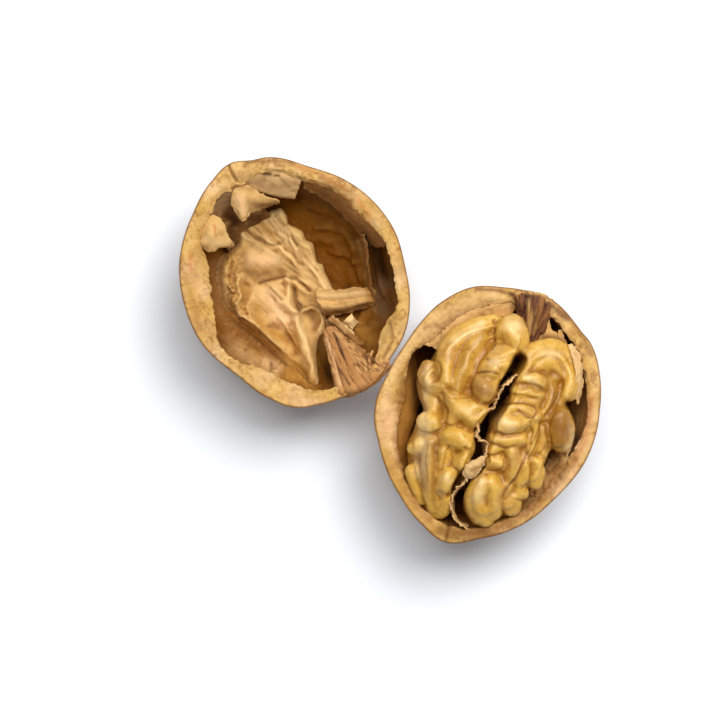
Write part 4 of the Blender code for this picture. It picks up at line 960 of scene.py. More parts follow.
def close(mesh):
    """Joins a slit sphere at its seam and poles, with its faces turned outwards."""
    shape = bmesh.new()
    shape.from_mesh(mesh)
    bmesh.ops.remove_doubles(shape, verts=shape.verts, dist=SEAM_MERGE)
    bmesh.ops.recalc_face_normals(shape, faces=shape.faces)
    shape.to_mesh(mesh)
    shape.free()
    mesh.shade_smooth()


def give(mesh, name, values):
    """Stores a number or a colour for every vertex, for the materials to read."""
    values = np.asarray(values, dtype=np.float32)
    if values.ndim == 1:
        made = mesh.attributes.new(name, "FLOAT", "POINT")
        made.data.foreach_set("value", np.ascontiguousarray(values))
    else:
        made = mesh.attributes.new(name, "FLOAT_COLOR", "POINT")
        opaque = np.column_stack([values, np.ones(len(values))]).astype(np.float32)
        made.data.foreach_set("color", opaque.ravel())


def show(name, mesh, material, slot, *nodes):
    """Puts a finished mesh in the scene. It stands for CAD nodes, if any are named."""
    made = bpy.data.objects.new(name, mesh)
    bpy.context.scene.collection.objects.link(made)
    mesh.materials.append(material)
    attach(made, "root")
    if nodes:
        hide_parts(*nodes)
    return made


def distance_to(spots, route):
    """How far each plan spot is from a route, and how far along the route its nearest point is."""
    best = np.full(len(spots), 1e9)
    along = np.zeros(len(spots))
    for i, (start, end) in enumerate(zip(route[:-1], route[1:])):
        span = end - start
        share = np.clip((spots - start) @ span / (span @ span), 0, 1)
        reach = np.hypot(*(spots - start - share[:, None] * span).T)
        closer = reach < best
        best = np.where(closer, reach, best)
        along = np.where(closer, (i + share) / (len(route) - 1), along)
    return best, along


def swell(spots, route, width, rise):
    """The height that a rounded ridge along a route adds at plan spots."""
    if len(route) == 1:
        reach = np.hypot(*(spots - route[0]).T)
    else:
        reach = distance_to(spots, route)[0]
    return rise * np.exp(-((reach / width) ** 2))


def streaks(points, middle, size, seed):
    """Noise in lines that run out from a plan point."""
    arms = points[:, :2] - middle
    around = np.arctan2(arms[:, 1], arms[:, 0])
    drawn = np.column_stack([around * 10 * MM, np.hypot(*arms.T) * 0.12, np.zeros(len(points))])
    return grain(drawn, size, seed)


def plan_reach(points, route):
    """How far each point is in plan from a route, or from a single spot."""
    if len(route) == 1:
        return np.hypot(*(points[:, :2] - route[0]).T)
    return distance_to(points[:, :2], route)[0]


def near(points, route, width):
    """From 1 on a route to 0 well away from it."""
    reach = plan_reach(points, route)
    return np.exp(-((reach / width) ** 2))


def stroke(tint, points, paint, strength, width, route, wobble=None):
    """Paints along a route: the tint turns to paint within about width of it."""
    reach = plan_reach(points, route)
    if wobble is not None:
        reach = reach * (1 + wobble)
    share = strength * np.exp(-((reach / width) ** 2))
    return blend(tint, paint, share[:, None])


def paint(tint, points, strokes, on_half):
    wobble = 0.35 * grain(points, 0.8 * MM, 50) + 0.3 * grain(points, 2.0 * MM, 51)
    for name, strength, width, route in strokes:
        tint = stroke(tint, points, PAINTS[name], strength, width * MM, on_half(route), wobble)
    return tint


def cavity(mesh, rounds):
    """How deep each vertex lies in a crease, in metres under the smoothed surface: negative on a crest."""
    points = read(mesh)
    normals = read_normals(mesh)
    edges = np.empty(len(mesh.edges) * 2, dtype=np.int64)
    mesh.edges.foreach_get("vertices", edges)
    first, second = edges.reshape(-1, 2).T
    count = np.bincount(edges, minlength=len(points))[:, None]
    smooth = points
    for _ in range(rounds):
        total = np.zeros_like(points)
        for axis in range(3):
            total[:, axis] = np.bincount(first, smooth[second, axis], len(points))
            total[:, axis] += np.bincount(second, smooth[first, axis], len(points))
        smooth = 0.5 * smooth + 0.5 * total / count
    return ((smooth - points) * normals).sum(axis=1)


# Materials


class Tree:
    """The node tree of a material or a group, built one node at a time."""

    def __init__(self, tree):
        self.tree = tree

    def add(self, kind, settings=None, **inputs):
        made = self.tree.nodes.new(kind)
        for key, value in (settings or {}).items():
            setattr(made, key, value)
        for key, value in inputs.items():
            numbered = key[0] == "i" and key[1:].isdigit()
            socket = made.inputs[int(key[1:]) if numbered else key.replace("_", " ")]
            if isinstance(value, bpy.types.NodeSocket):
                self.tree.links.new(value, socket)
            else:
                socket.default_value = value
        return made

    def attribute(self, name):
        return self.add("ShaderNodeAttribute", {"attribute_name": name})

    def math(self, operation, first, second=0.0, clamp=False):
        facts = {"operation": operation, "use_clamp": clamp}
        return self.add("ShaderNodeMath", facts, i0=first, i1=second).outputs[0]

    def mix(self, share, first, second, how="MIX"):
        made = self.add("ShaderNodeMix", {"data_type": "RGBA", "blend_type": how, "clamp_factor": True})
        for key, value in ((0, share), (6, first), (7, second)):
            if isinstance(value, bpy.types.NodeSocket):
                self.tree.links.new(value, made.inputs[key])
            else:
                made.inputs[key].default_value = value
        return made.outputs[2]

    def ramp(self, value, stops):
        made = self.add("ShaderNodeValToRGB", Fac=value)
        ramp = made.color_ramp
        while len(ramp.elements) < len(stops):
            ramp.elements.new(0.5)
        for element, (place, shade) in zip(ramp.elements, stops):
            element.position = place
            element.color = (shade, shade, shade, 1)
        return made.outputs[0]


def mottle_group():
    """Blotches, specks and fine grain over a tint: a darker and a lighter colour, and the bump's height."""
    group = bpy.data.node_groups.new("mottle", "ShaderNodeTree")
    for name, kind, value in (
        ("Tint", "NodeSocketColor", None),
        ("Blotch Size", "NodeSocketFloat", 900.0),
        ("Blotch", "NodeSocketFloat", 0.25),
        ("Speck Size", "NodeSocketFloat", 5000.0),
        ("Speck", "NodeSocketFloat", 0.3),
        ("Grain Size", "NodeSocketFloat", 7000.0),
        ("Grain", "NodeSocketFloat", 0.15),
    ):
        socket = group.interface.new_socket(name, in_out="INPUT", socket_type=kind)
        if value is not None:
            socket.default_value = value
    group.interface.new_socket("Color", in_out="OUTPUT", socket_type="NodeSocketColor")
    group.interface.new_socket("Height", in_out="OUTPUT", socket_type="NodeSocketFloat")
    t = Tree(group)
    given = t.add("NodeGroupInput").outputs
    where = t.add("ShaderNodeTexCoord").outputs["Object"]

    def cloud(size, detail, rough):
        made = t.add("ShaderNodeTexNoise", Vector=where, Scale=given[size], Detail=detail, Roughness=rough)
        return made.outputs["Fac"]

    blotch = cloud("Blotch Size", 4.0, 0.6)
    speck = cloud("Speck Size", 2.0, 0.7)
    fine = cloud("Grain Size", 5.0, 0.65)
    blotch_share = t.math("MULTIPLY", t.ramp(blotch, [(0.42, 0.0), (0.62, 1.0)]), given["Blotch"])
    darker = t.mix(1.0, given["Tint"], (0.55, 0.42, 0.28, 1), "MULTIPLY")
    tint = t.mix(blotch_share, given["Tint"], darker)
    speck_share = t.math("MULTIPLY", t.ramp(speck, [(0.60, 0.0), (0.72, 1.0)]), given["Speck"])
    tint = t.mix(speck_share, tint, t.mix(1.0, given["Tint"], (0.35, 0.22, 0.12, 1), "MULTIPLY"))
    grain_share = t.math("MULTIPLY", t.math("SUBTRACT", fine, 0.5), given["Grain"])
    lift = t.math("ADD", 1.0, t.math("MULTIPLY", grain_share, 2.0))
    shade = t.add("ShaderNodeCombineColor", Red=lift, Green=lift, Blue=lift).outputs[0]
    tint = t.mix(1.0, tint, shade, "MULTIPLY")
    height = t.math("ADD", t.math("MULTIPLY", fine, 0.6), t.math("MULTIPLY", blotch, 0.4))
    t.add("NodeGroupOutput", Color=tint, Height=height)
    return group


MOTTLE = mottle_group()


def finish(
    name, roughness, bump, mottle, gloss_roughness=None, specular=0.5, subsurface=0.0, glint=(1, 1, 1)
):
    """A material whose colour is the piece's painted tint, mottled, with a bump."""
    material = bpy.data.materials.new(name)
    material.use_nodes = True
    t = Tree(material.node_tree)
    shader = t.tree.nodes["Principled BSDF"]
    tint = t.attribute("tint").outputs["Color"]
    made = t.add("ShaderNodeGroup", {"node_tree": MOTTLE}, Tint=tint, **mottle)
    t.tree.links.new(made.outputs["Color"], shader.inputs["Base Color"])
    rise = t.add("ShaderNodeBump", Height=made.outputs["Height"], Strength=bump, Distance=0.0004)
    t.tree.links.new(rise.outputs[0], shader.inputs["Normal"])
    if gloss_roughness is None:
        shader.inputs["Roughness"].default_value = roughness
    else:
        gloss = t.attribute("gloss").outputs["Fac"]
        rough = t.math("ADD", roughness, t.math("MULTIPLY", gloss, gloss_roughness - roughness))
        t.tree.links.new(rough, shader.inputs["Roughness"])
    shader.inputs["Specular IOR Level"].default_value = specular
    shader.inputs["Specular Tint"].default_value = (*glint, 1)
    if subsurface:
        shader.inputs["Subsurface Weight"].default_value = subsurface
        shader.inputs["Subsurface Radius"].default_value = (1.0, 0.55, 0.25)
        shader.inputs["Subsurface Scale"].default_value = 0.0012
    return material


# Screen colours of the real nut's parts, and of painted highlights and painted shade.
RIM_TAN = colour(216, 173, 108)
RIM_YELLOW = colour(212, 168, 92)
RIM_PINK = colour(236, 198, 150)
STAIN = colour(176, 112, 52)
SKIN = colour(186, 133, 78)
SKIN_DARK = colour(112, 72, 42)
EDGE_LINE = colour(120, 74, 46)
PAINTS = {
    "pale": colour(236, 196, 134),
    "pink": colour(236, 190, 138),
    "tan": colour(214, 168, 104),
    "olive": colour(190, 158, 104),
    "ochre": colour(186, 134, 62),
    "brown": colour(140, 96, 50),
    "grey": colour(140, 108, 76),
    "dark": colour(70, 40, 14),
    "rust": colour(190, 100, 40),
    "umber": colour(150, 102, 54),
    "deep": colour(150, 98, 26),
    "vein": colour(112, 66, 24),
    # Painted highlight.
    "painted_highlight": colour(248, 218, 160),
    "plum": colour(104, 62, 44),
    "dark_plum": colour(58, 28, 22),
    "fibre": colour(184, 130, 76),
    "rim": RIM_TAN,
    "grey_tan": colour(186, 146, 98),
    "paper": colour(222, 180, 122),
}
WALL_AMBER = colour(132, 76, 4)
WALL_BROWN = colour(140, 92, 36)
KERNEL_GOLD = colour(210, 160, 62)
# Painted highlight for the kernel's crests.
KERNEL_CREST_HIGHLIGHT = colour(228, 186, 98)
# Painted shade for the kernel's creases and furrows.
KERNEL_CREASE_SHADE = colour(160, 102, 20)
KERNEL_BROWN = colour(178, 128, 78)
# Painted shade for the seams between folds, and the colour of the kernel's veins.
KERNEL_VEIN_AND_SEAM_SHADE = colour(120, 74, 30)
PLATE_TAN = colour(224, 180, 112)
FIBRE = colour(192, 138, 84)


# The half-shells


def build_shell(side):
    half = HALF[side]
    rows = OUTER_ROWS + RIM_ROWS + INNER_ROWS

    def outer_points(angle, down):
        turn = down * math.pi / 2
        depth = BODY_DEPTH * np.sin(turn) ** (2 / ROUNDNESS)
        rim = half.outer.radius(angle) - SEAM_FLARE * smoothstep(0.3 * MM, 2.4 * MM, depth)
        oval = np.maximum(0, np.cos(turn)) ** (2 / ROUNDNESS)
        radius = blend(rim, half.body_radius(angle), smoothstep(0, 0.6, down)) * oval
        points = half.place(angle, radius, RIM_HEIGHT - depth)
        relief, groove, fine = half.furrows(points)
        level = np.cos(turn)
        outward = np.stack([np.cos(angle) * level, np.sin(angle) * level, -np.sin(turn)], axis=1)
        points += outward * (relief * smoothstep(0, 2 * MM, depth))[:, None]
        points[:, 2] = np.maximum(0, points[:, 2] - RIM_ROUNDING * (1 - down) ** 8)
        return points, np.maximum(groove, 0.6 * fine)

    def rim_drop(angle):
        """How far the rim's inner edge lies under its top."""
        return 0.3 * MM + np.minimum(1.5 * MM, 0.75 * half.ledge(angle))

    def ragged_edge(angle):
        """How far the rim's broken inner edge strays from its line."""
        ring = half.place(angle, half.outer.radius(angle), RIM_HEIGHT)
        return grain(ring, 0.9 * MM, 5) * 0.35 * MM + grain(ring, 2.4 * MM, 6) * 0.3 * MM

    def rim_points(angle, across):
        outer = half.outer.radius(angle)
        inner = half.wall_radius(angle) - half.ledge(angle) + ragged_edge(angle)
        bevel = rim_drop(angle)
        shoulder = np.maximum(inner + 0.3 * MM, outer - 1.8 * MM)
        share = np.clip(across * 1.25 - 0.25, 0, 1)
        radius = np.where(across < 0.2, outer - RIM_ROUNDING * np.sin(across / 0.2 * math.pi / 2), 0)
        flat = blend(outer - RIM_ROUNDING, shoulder, share / 0.5)
        slope = blend(shoulder, inner, share * 2 - 1)
        radius = np.where(across < 0.2, radius, np.where(share < 0.5, flat, slope))
        depth = np.where(across < 0.2, RIM_ROUNDING * (1 - np.sin(across / 0.2 * math.pi / 2)), 0)
        depth = np.where(share > 0.5, blend(0.05 * MM, bevel, np.maximum(0, share * 2 - 1) ** 1.4), depth)
        points = half.place(angle, radius, RIM_HEIGHT - depth)
        bumps = grain(points, 2.2 * MM, 8) * 0.16 * MM + grain(points, 0.7 * MM, 9) * 0.07 * MM - 0.14 * MM
        points[:, 2] += bumps * np.sin(np.clip(across, 0, 1) * math.pi) ** 0.5
        return points

    def inner_points(angle, down):
        turn = down * math.pi / 2
        start = rim_drop(angle)
        depth = start + (RIM_HEIGHT - WALL_AT_BOTTOM - start) * np.sin(turn) ** (2 / ROUNDNESS)
        radius = half.wall_radius(angle) * np.maximum(0, np.cos(turn)) ** (2 / ROUNDNESS)
        fall = 1 - smoothstep(start, start + LEDGE_DEPTH, depth)
        inset = half.ledge(angle) - ragged_edge(angle) * (1 - smoothstep(start, start + 1.2 * MM, depth))
        if side == "kernel":
            slope = np.maximum(0, half.inner.radius(angle) - LINING.radius(angle))
            held = smoothstep(0, 0.6 * MM, slope)
            fall = blend(fall, 1 - smoothstep(5.5 * MM, 9 * MM, depth), held)
            inset += slope * smoothstep(start, 4.8 * MM, depth)
        radius -= inset * fall
        points = half.place(angle, radius, RIM_HEIGHT - depth)
        lengthwise = half.along_axis(points)
        bumps = grain(lengthwise / (2, 1, 1), 2.5 * MM, 11) * 0.3 * MM
        bumps = bumps + grain(points, 0.8 * MM, 12) * 0.08 * MM
        lean = np.clip(down * 6, 0, 1)
        rise = np.abs(bumps)
        if side == "empty":
            for width, crest, route in EMPTY_WALL_RELIEF:
                rise = rise + crest * MM * near(points, on_empty(route), width * MM)
            pocket = near(points, POCKET, 2.0 * MM)
            rise = np.abs(rise + 0.35 * MM * pocket * (1 + streaks(points, half.centre, 0.4 * MM, 13)))
        arms = points[:, :2] - half.centre
        inwards = arms / np.maximum(MM, np.hypot(*arms.T))[:, None]
        points[:, :2] -= inwards * (rise * lean * np.cos(turn))[:, None]
        points[:, 2] += rise * lean * np.sin(turn)
        return points

    marks = {}

    def place(angle, share):
        row = share * rows
        points = np.zeros((len(angle), 3))
        net = np.zeros(len(angle))
        outer = row < OUTER_ROWS - 0.01
        inner = row > OUTER_ROWS + RIM_ROWS + 0.01
        rim = ~outer & ~inner
        points[outer], net[outer] = outer_points(angle[outer], 1 - row[outer] / OUTER_ROWS)
        points[rim] = rim_points(angle[rim], (row[rim] - OUTER_ROWS) / RIM_ROWS)
        points[inner] = inner_points(angle[inner], (row[inner] - OUTER_ROWS - RIM_ROWS) / INNER_ROWS)
        marks.update(outer=outer, rim=rim, inner=inner, net=net, across=(row - OUTER_ROWS) / RIM_ROWS)
        return points

    mesh, angle, share = folded_sphere(f"shell_{side}", SHELL_SEGMENTS, rows, place)
    points = read(mesh)
    on_half = on_empty if side == "empty" else on_kernel
    split = np.exp(-((distance_to(points[:, :2], on_half(SPLITS[side]))[0] / (0.15 * MM)) ** 2))
    split *= smoothstep(RIM_HEIGHT - 4 * MM, RIM_HEIGHT - 2 * MM, points[:, 2])
    points[:, 2] -= 0.9 * MM * split
    write(mesh, points)
    broad = grain(points, 3.5 * MM, 20)
    small = grain(points, 0.9 * MM, 21)
    tint = np.tile(RIM_TAN, (len(points), 1))
    tint = blend(tint, RIM_YELLOW, smoothstep(-0.2, 0.5, broad)[:, None])
    tint = towards(tint, RIM_PINK, 0.6, 0.1, 0.6, -broad)
    tint = towards(tint, STAIN, 0.35, 0.15, 0.55, small)
    flecks = grain(points, 0.45 * MM, 24) + 0.8 * grain(points, 2.5 * MM, 25)
    tint = towards(tint, PAINTS["umber"], 0.55, 0.32, 0.55, flecks)
    tint = towards(tint, PAINTS["pale"], 0.4, 0.32, 0.6, -flecks)
    depth = RIM_HEIGHT - points[:, 2]
    wall = blend(WALL_BROWN, WALL_AMBER, smoothstep(1.5 * MM, 6 * MM, depth)[:, None])
    wall = towards(wall, STAIN, 0.15, 0, 0.6, broad)
    shade = 0.45 * smoothstep(0.1, 0.5, -broad) + 0.25 * smoothstep(0.2, 0.5, small)
    wall = blend(wall, PAINTS["dark"], shade[:, None])
    outer_tint = blend(SKIN, SKIN_DARK, np.clip(marks["net"] * 0.75, 0, 1)[:, None])
    tint[marks["outer"]] = outer_tint[marks["outer"]]
    inside = smoothstep(0.3 * MM, 1.8 * MM, depth)[:, None]
    tint = paint(tint, points, EMPTY_RIM_PAINT if side == "empty" else KERNEL_RIM_PAINT, on_half)
    outside = marks["outer"]
    tint[outside] = blend(tint, outer_tint, smoothstep(0, 0.6 * MM, depth)[:, None])[outside]
    wall = paint(wall, points, EMPTY_WALL_PAINT if side == "empty" else KERNEL_WALL_PAINT, on_half)
    if side == "empty":
        lines = streaks(points, half.centre, 0.4 * MM, 13) * near(points, POCKET, 2.4 * MM)
        lines = lines * smoothstep(-0.3, 0.5, grain(points, 1.4 * MM, 22)) + 0.3 * small
        wall = towards(wall, PAINTS["dark"], 0.6, 0.0, 0.5, -lines)
        wall = towards(wall, PAINTS["tan"], 0.4, 0.1, 0.5, lines)
    tint[marks["inner"]] = blend(tint, wall, inside)[marks["inner"]]
    edge = marks["rim"] * np.exp(-((marks["across"] / 0.12) ** 2))
    tint = blend(tint, EDGE_LINE, (0.8 * edge)[:, None])
    tint = blend(tint, PAINTS["vein"], (0.9 * split)[:, None])
    write(mesh, np.clip(points, *np.array(CAD_BOX)))
    give(mesh, "tint", tint)
    give(mesh, "gloss", marks["inner"] * smoothstep(1 * MM, 4 * MM, depth))
    close(mesh)
    show(f"fine_shell_{side}", mesh, SHELL_FINISH, "shell", f"shell_{side}")


# Bodies inside the halves


def pad_mesh(name, edge, top, bottom, segments=200, rows=100):
    """A closed flat body inside an outline: top and bottom give its height at plan spots."""

    def place(angle, share):
        lean = np.abs(share - 0.5) * math.pi
        reach = np.cos(lean) ** 0.7
        arms = np.stack([np.cos(angle), np.sin(angle)], axis=1)
        spots = edge.centre + arms * (edge.radius(angle) * reach)[:, None]
        high, low = top(spots), bottom(spots)
        middle = (high + low) / 2
        surface = np.where(share > 0.5, high, low)
        return np.column_stack([spots, blend(middle, surface, np.minimum(1, np.sin(lean) * 1.8))])

    mesh = folded_sphere(name, segments, rows, place)[0]
    close(mesh)
    return mesh


def melted(name, meshes, voxel, rounds):
    """One grown body from overlapping closed meshes, melted together and smoothed."""
    mesh = new_mesh(name, lambda shape: [shape.from_mesh(part) for part in meshes])
    made = bpy.data.objects.new(name, mesh)
    bpy.context.scene.collection.objects.link(made)
    melt = made.modifiers.new("melt", "REMESH")
    melt.mode = "VOXEL"
    melt.voxel_size = voxel
    soften = made.modifiers.new("soften", "SMOOTH")
    soften.factor = 0.5
    soften.iterations = rounds
    graph = bpy.context.evaluated_depsgraph_get()
    result = bpy.data.meshes.new_from_object(made.evaluated_get(graph))
    bpy.data.objects.remove(made)
    result.name = name
    face_outwards(result)
    return result


def balls(stops, crest_height, detail=3):
    """A fold: balls of changing size in a row, whose tops follow crest_height(spots, radius)."""
    stops = [np.array(stop) for stop in stops]
    stops = [2 * stops[0] - stops[1], *stops, 2 * stops[-1] - stops[-2]]

    def fill(shape):
        for i in range(1, len(stops) - 2):
            gap = np.hypot(*(stops[i + 1] - stops[i])[:2])
            steps = max(1, round(gap / (0.3 * stops[i][2])))
            for step in range(steps + 1):
                x, y, radius = through(*stops[i - 1 : i + 3], step / steps)
                ball = bmesh.ops.create_icosphere(shape, subdivisions=detail, radius=radius)
                height = crest_height(np.array([[x, y]]), radius)[0] - radius
                bmesh.ops.translate(shape, verts=ball["verts"], vec=(x, y, height))

    return new_mesh("balls", fill)


def dome(spots):
    """The height that the kernel's crests reach over plan spots."""
    half = HALF["kernel"]
    x, y = (spots - half.centre).T
    along = (x * half.axis[0] + y * half.axis[1]) / (19.0 * MM)
    across = (x * half.axis[1] - y * half.axis[0]) / (16.2 * MM)
    rise = np.sqrt(np.maximum(0, 1 - along**2 - across**2))
    return RIM_HEIGHT - KERNEL_EDGE_DROP + (KERNEL_CROWN + KERNEL_EDGE_DROP) * rise


def drawn_out(stops, steps=3):
    """A row of stops with more between them, on one smooth curve."""
    stops = [np.array(stop, float) for stop in stops]
    stops = [2 * stops[0] - stops[1], *stops, 2 * stops[-1] - stops[-2]]
    spans = [stops[i - 1 : i + 3] for i in range(1, len(stops) - 2)]
    route = [through(*span, step / steps) for span in spans for step in range(steps)]
    return np.array([*route, stops[-2]])


def fold_line(points, sink):
    radii = np.array([point[2] for point in points]) / 6 * PIXEL
    sunk = np.full(len(radii), sink * MM)
    return drawn_out(np.column_stack([on_kernel([point[:2] for point in points]), radii, sunk]))


def crests(spots, lines):
    """The height of the folds over plan spots, and how far the next fold is below it there."""
    best = np.full(len(spots), -1.0)
    second = np.full(len(spots), -1.0)
    total = np.full(len(spots), 1e-30)
    for line in lines:
        fold = np.full(len(spots), -1.0)
        for start, end in zip(line[:-1], line[1:]):
            span = (end - start)[:2]
            share = np.clip((spots - start[:2]) @ span / (span @ span), 0, 1)
            reach = np.hypot(*(spots - start[:2] - share[:, None] * span).T)
            radius = blend(start[2], end[2], share)
            part = reach / radius
            fall = np.where(part < 1, part**2, 2 * part - 1) * radius * FOLD_ROUND
            fold = np.maximum(fold, -FOLD_DROP * (1 - radius / LARGEST_FOLD) - start[3] - fall)
        second = np.maximum(second, np.minimum(best, fold))
        best = np.maximum(best, fold)
        total += np.exp(fold / FOLD_MELT)
    return dome(spots) + FOLD_MELT * np.log(total), best - second


def build_kernel():
    half = HALF["kernel"]
    lines = [fold_line(points, SUNK_FOLDS.get(name, 0)) for name, points in FOLDS.items()]

    def top(spots):
        warp = wander(spots, FOLD_WANDER_SIZE, FOLD_WANDER, 40)
        return np.maximum(crests(spots + warp, lines)[0], dome(spots) - KERNEL_VALLEY)

    bottom = lambda spots: half.floor(spots) + 0.9 * MM
    lobes = [
        pad_mesh("left", outline(plan((456, 405)), plan(LEFT_LOBE)), top, bottom, 300, 200),
        pad_mesh("right", outline(plan((528, 425)), plan(RIGHT_LOBE)), top, bottom, 300, 200),
    ]
    for line in lines:
        under = 0.4 * MM + line[0][3]
        crest = lambda spots, radius: dome(spots) - FOLD_DROP * (1 - radius / LARGEST_FOLD) - under
        lobes.append(balls([(x, y, radius * 0.9) for x, y, radius, _ in line[::3]], crest))
    gap_route = drawn_out(on_kernel(LOBE_GAP))
    for part in lobes:
        places = read(part)
        above = np.maximum(0, places[:, 2] - (RIM_HEIGHT - GAP_DEPTH))
        places[:, 2] -= above * np.exp(-((distance_to(places[:, :2], gap_route)[0] / (0.72 * MM)) ** 4))
        write(part, places)
    bridge = [(*spot, 2.6 * MM) for spot in plan(BRIDGE)]
    lobes.append(balls(bridge, lambda spots, radius: np.array([RIM_HEIGHT - 7.0 * MM])))
    mesh = melted("kernel", lobes, KERNEL_VOXEL, 3)
    points = read(mesh)
    normals = read_normals(mesh)
    wrinkles = grain(points, 1.3 * MM, 30)
    fine = grain(points, 0.5 * MM, 31)
    vein = np.exp(-((wrinkles / 0.07) ** 2))
    swells = grain(points, 1.8 * MM, 33)
    points += normals * (-0.05 * MM * vein + 0.02 * MM * fine + 0.12 * MM * swells)[:, None]
    furrow = np.zeros(len(points))
    strayed = points[:, :2] + 0.25 * MM * grain(points, 1.5 * MM, 34)[:, None]
    for depth, width, route in CREASES:
        reach = distance_to(strayed, drawn_out(on_kernel(route)))[0]
        furrow = np.maximum(furrow, depth / 100 * np.exp(-((reach / (width / 100 * MM)) ** 2)))
    furrow *= smoothstep(0.0, 0.5, normals[:, 2])
    points -= normals * (0.6 * MM * furrow)[:, None]
    write(mesh, points)
    crease = cavity(mesh, 25) / MM
    warp = wander(points[:, :2], FOLD_WANDER_SIZE, FOLD_WANDER, 40)
    height, gap = crests(points[:, :2] + warp, lines)
    # Where two folds meet: the seams that get painted shade.
    seam = np.exp(-((gap / (0.10 * MM)) ** 2)) * smoothstep(-1.2 * MM, -0.4 * MM, points[:, 2] - height)
    broad = grain(points, 4 * MM, 32)
    tint = np.tile(KERNEL_GOLD, (len(points), 1))
    tint = towards(tint, KERNEL_BROWN, 0.45, 0, 0.5, broad)
    # Painted highlight: paler on the crests.
    tint = towards(tint, KERNEL_CREST_HIGHLIGHT, 0.65, 0.03, 0.2, -crease)
    # Painted shade: amber in the creases and furrows.
    tint = towards(tint, KERNEL_CREASE_SHADE, 0.9, 0.01, 0.16, crease)
    tint = blend(tint, KERNEL_CREASE_SHADE, np.clip(1.1 * furrow, 0, 0.7)[:, None])
    # Painted shade along the seams where folds meet, with the kernel's own fine veins.
    tint = blend(tint, KERNEL_VEIN_AND_SEAM_SHADE, (0.15 * seam + 0.2 * vein)[:, None])
    tint = paint(tint, points, KERNEL_PAINT, on_kernel)
    give(mesh, "tint", tint)
    show("fine_kernel", mesh, KERNEL_FINISH, "kernel", "kernel")


# What is left in the empty half


def build_partition():
    half = HALF["empty"]
    edge = outline(on_empty([PLATE_CENTRE])[0], on_empty(PLATE))
    feather_root = on_empty([(1010, 930)])[0]
    feather = on_empty([(520, 460), (640, 560), (780, 700), (900, 830)])
    rough = on_empty([(360, 680), (350, 800), (370, 920), (420, 1000)])

    def top(spots):
        flat = np.column_stack([spots, np.zeros(len(spots))])
        warp = wander(spots, PLATE_WANDER_SIZE, PLATE_WANDER, 60)
        taper = smoothstep(0, 2.2 * MM, distance_to(spots, on_empty(PLATE_FOOT))[0])
        cracked = smoothstep(0, 1.1 * MM, distance_to(spots, on_empty(PLATE_CRACK))[0])
        tip = smoothstep(0, 2.6 * MM, distance_to(spots, on_empty([(872, 1450), (840, 1436)]))[0])
        taper = np.minimum(np.minimum(taper, 0.3 + 0.7 * cracked), 0.3 + 0.7 * tip)
        high = half.floor(spots) + blend(-0.5, 1.9, taper) * MM
        for width, rise, route in PLATE_RELIEF:
            high += swell(spots + warp, on_empty(route), width * MM, rise * MM) * taper
        strayed = flat + np.pad(warp, ((0, 0), (0, 1)))
        high += 0.16 * MM * streaks(strayed, feather_root, 0.4 * MM, 66) * near(flat, feather, 2.2 * MM)
        high += 0.3 * MM * grain(flat, 0.5 * MM, 67) * near(flat, rough, 1.4 * MM)
        turned = np.column_stack([(flat[:, 0] - flat[:, 1]) / 4, flat[:, 0] + flat[:, 1], flat[:, 2]])
        high += 0.10 * MM * grain(turned, 0.5 * MM, 62) + 0.14 * MM * grain(flat, 1.2 * MM, 63)
        return high + 0.05 * MM * grain(flat, 0.35 * MM, 64)

    bottom = lambda spots: half.floor(spots) - 0.5 * MM
    mesh = melted("partition", [pad_mesh("plate", edge, top, bottom, 420, 240)], THIN_VOXEL, 1)
    points = read(mesh)
    tint = np.tile(PLATE_TAN, (len(points), 1))
    broad = grain(points, 2.5 * MM, 65)
    tint = towards(tint, PAINTS["ochre"], 0.35, -0.1, 0.5, broad)
    tint = paint(tint, points, PLATE_PAINT, on_empty)
    lines = streaks(points, feather_root, 0.5 * MM, 66) * near(points, feather, 2.6 * MM)
    tint = towards(tint, PAINTS["pale"], 0.6, 0.05, 0.4, lines)
    tint = towards(tint, PAINTS["ochre"], 0.7, 0.1, 0.5, -lines)
    speckle = near(points, rough, 1.6 * MM) * smoothstep(-0.1, 0.4, grain(points, 0.55 * MM, 67))
    tint = blend(tint, PAINTS["brown"], (0.85 * speckle)[:, None])
    foot = smoothstep(2.2 * MM, 0.8 * MM, distance_to(points[:, :2], on_empty(PLATE_FOOT))[0])
    tint = blend(tint, PAINTS["umber"] * 0.8, (0.85 * foot)[:, None])
    # Painted shade in the creases and painted light on the crests.
    crease = cavity(mesh, 20) / MM
    tint = towards(tint, PAINTS["brown"], 0.8, 0.01, 0.12, crease)
    tint = towards(tint, PAINTS["pale"], 0.4, 0.02, 0.12, -crease)
    give(mesh, "tint", tint)
    show("fine_partition", mesh, PAPER_FINISH, "lining", "partition")


